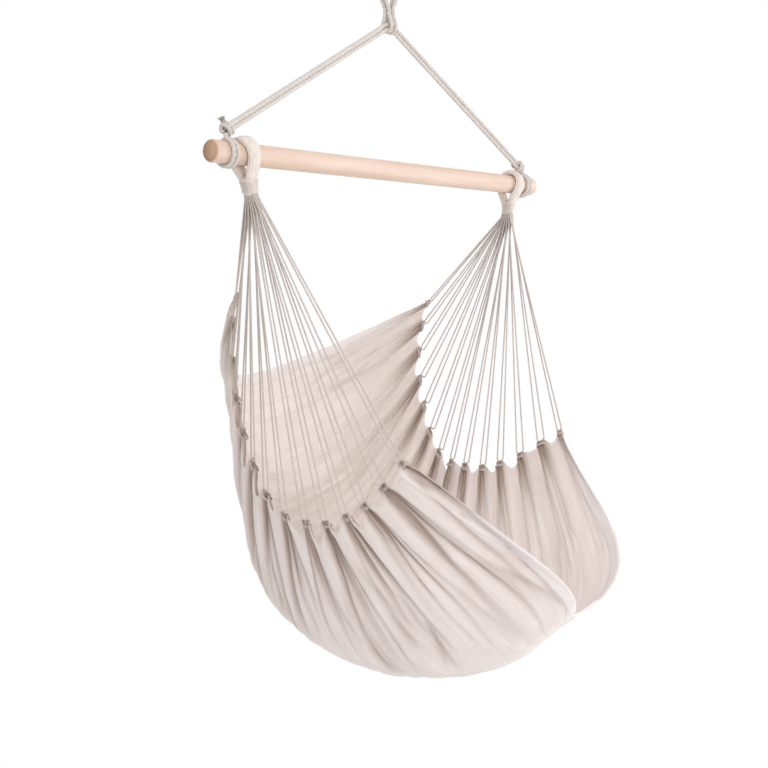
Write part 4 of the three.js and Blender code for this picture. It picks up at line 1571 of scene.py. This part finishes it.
def beech(finish):
    tree = finish.node_tree
    spot = add_node(tree, "ShaderNodeTexCoord").outputs["Object"]
    x, y, z = parts_of(tree, spot)
    tilt = plus(tree, times(tree, x, 0.8), times(tree, z, 1.3))
    depth = plus(tree, tilt, times(tree, times(tree, x, x), 9.0))
    wander = noise_of(tree, spot, (16, 1.2, 16))
    ring_at = plus(tree, times(tree, depth, ring_scale), times(tree, wander, ring_wander))
    rings = plus(tree, times(tree, calculate(tree, "SINE", ring_at), 0.5), 0.5)
    streak = noise_of(tree, spot, (700, 9, 700), 3.0, 0.6)
    fleck = noise_of(tree, spot, (1500, 110, 1500), 1.0)
    broad = noise_of(tree, spot, (60, 3.5, 60))
    colour = blend_colours(tree, times(tree, rings, 0.55), srgb(223, 199, 181), srgb(219, 188, 167))
    for pattern, low, high, strength, tone in (
            (streak, 0.35, 0.75, 0.5, srgb(211, 177, 154)),
            (broad, 0.35, 0.7, 0.45, srgb(240, 221, 208)),
            (fleck, 0.63, 0.7, 0.4, srgb(190, 148, 112))):
        colour = blend_colours(tree, from_range(tree, pattern, low, high, 0, strength), colour, tone)
    # The ends are painted darker: the end grain's own tone and painted shade; a painted shadow darkens each
    # end towards -X.
    end_tone = blend_colours(tree, times(tree, rings, 0.6), srgb(204, 166, 137), srgb(168, 129, 101))
    shaded_end_side = from_range(tree, x, -bar_radius, 0.5 * bar_radius, 0.85, 0)
    end_tone = blend_colours(tree, shaded_end_side, end_tone, srgb(120, 88, 68))
    from_middle = calculate(tree, "ABSOLUTE", y)
    at_end = calculate(tree, "GREATER_THAN", from_middle, bar_length / 2 - end_grain_depth)
    fill(tree, shader_of(finish, 0.5, gloss=0.35), {
        "Base Color": blend_colours(tree, at_end, colour, end_tone),
        "Roughness": from_range(tree, streak, 0.3, 0.8, 0.42, 0.6),
        "Normal": relief(tree, streak, 0.25, 0.15 * mm)})


beech(wood_finish)

# %% [markdown]
# ## Light, floor and background
#
# The chair is shown in a bright white studio. A white background must not come from more light on the
# chair, so the world is white only for what the camera, a gloss or a pane sees, and gives plain soft
# light to everything else. The lamps stand four to five metres away, so that a seat that swings
# towards one of them is lit much as before. One of them lights the far side and shines through the
# cloth, and one stands behind. The floor lies far below the chair. It keeps the soft shadow near the
# chair, and further out it turns to the same white as the background for the camera.

# %% World
world_strength = 0.75
world_colour = (0.93, 0.95, 1.0, 1)


def seen_by(tree, *rays):
    """One for what any of the named rays meets, and zero for the rest."""
    path = add_node(tree, "ShaderNodeLightPath").outputs
    seen = path["Is Camera Ray"]
    for ray in rays:
        seen = calculate(tree, "MAXIMUM", seen, path[ray])
    return seen


def build_world():
    world = bpy.data.worlds.new("studio")
    world.use_nodes = True
    bpy.context.scene.world = world
    tree = world.node_tree
    seen = seen_by(tree, "Is Glossy Ray", "Is Transmission Ray")
    fill(tree, tree.nodes["Background"], {
        "Color": blend_colours(tree, seen, world_colour, (1, 1, 1, 1)),
        "Strength": from_range(tree, seen, 0, 1, world_strength, 1.0)})


build_world()

# %% Lamps
seat_centre = (0, 0, -0.9)
lamps = (  # name, place, width, power and colour
    ("window", (4.9, -2.2, -0.05), 2.0, 76, (1.0, 0.99, 0.985)),
    ("above", (0.8, -2.7, 3.1), 1.8, 46, (1.0, 0.99, 0.985)),
    ("far_side", (2.6, 3.2, -0.7), 2.0, 64, (1.0, 0.99, 0.985)),
    ("behind", (-3.6, 0.7, -0.2), 2.0, 34, (1.0, 0.985, 0.97)),
)


def soft_lamp(name, place, size, power, colour):
    """A round lamp that faces the seat's centre and can't be seen itself."""
    lamp = bpy.data.lights.new(name, "AREA")
    lamp.shape = "DISK"
    lamp.size = size
    lamp.energy = power
    lamp.color = colour
    holder = bpy.data.objects.new(name, lamp)
    way = Vector(seat_centre) - Vector(place)
    holder.matrix_world = Matrix.Translation(place) @ way.to_track_quat("-Z", "Y").to_matrix().to_4x4()
    holder.visible_camera = False
    bpy.context.scene.collection.objects.link(holder)
    print("lamp", name, round(way.length, 1), "m from the seat,", power, "W")


for lamp_values in lamps:
    soft_lamp(*lamp_values)


# %% Floor
floor_height = -2.0
floor_radius = 14
floor_grey = 0.9
shadow_radius = 0.8
white_radius = 1.25


def build_floor():
    bpy.ops.mesh.primitive_circle_add(vertices=96, radius=floor_radius, fill_type="NGON",
                                      location=(0, 0, floor_height))
    floor = bpy.context.object
    floor.name = floor.data.name = "floor"
    bpy.ops.object.transform_apply(location=True)
    bpy.ops.object.select_all(action="DESELECT")
    paint = new_finish("floor_white")
    tree = paint.node_tree
    shader = fill(tree, shader_of(paint, 0.9), {"Base Color": (floor_grey, floor_grey, floor_grey, 1)})
    spot = add_node(tree, "ShaderNodeTexCoord").outputs["Object"]
    flat = add_node(tree, "ShaderNodeVectorMath", {0: spot, 1: (1, 1, 0)}, operation="MULTIPLY")
    reach = add_node(tree, "ShaderNodeVectorMath", {0: flat.outputs[0]}, operation="LENGTH")
    far = from_range(tree, reach.outputs["Value"], shadow_radius, white_radius)
    white = add_node(tree, "ShaderNodeEmission")
    mixed_surface(tree, times(tree, far, seen_by(tree, "Is Glossy Ray")), shader, white)
    floor.data.materials.append(paint)


build_floor()
bpy.context.scene.view_settings.view_transform = "Standard"

# %% [markdown]
# ## Last update
#
# The scene's view layer is brought up to date once more.

# %% Update
bpy.context.view_layer.update()
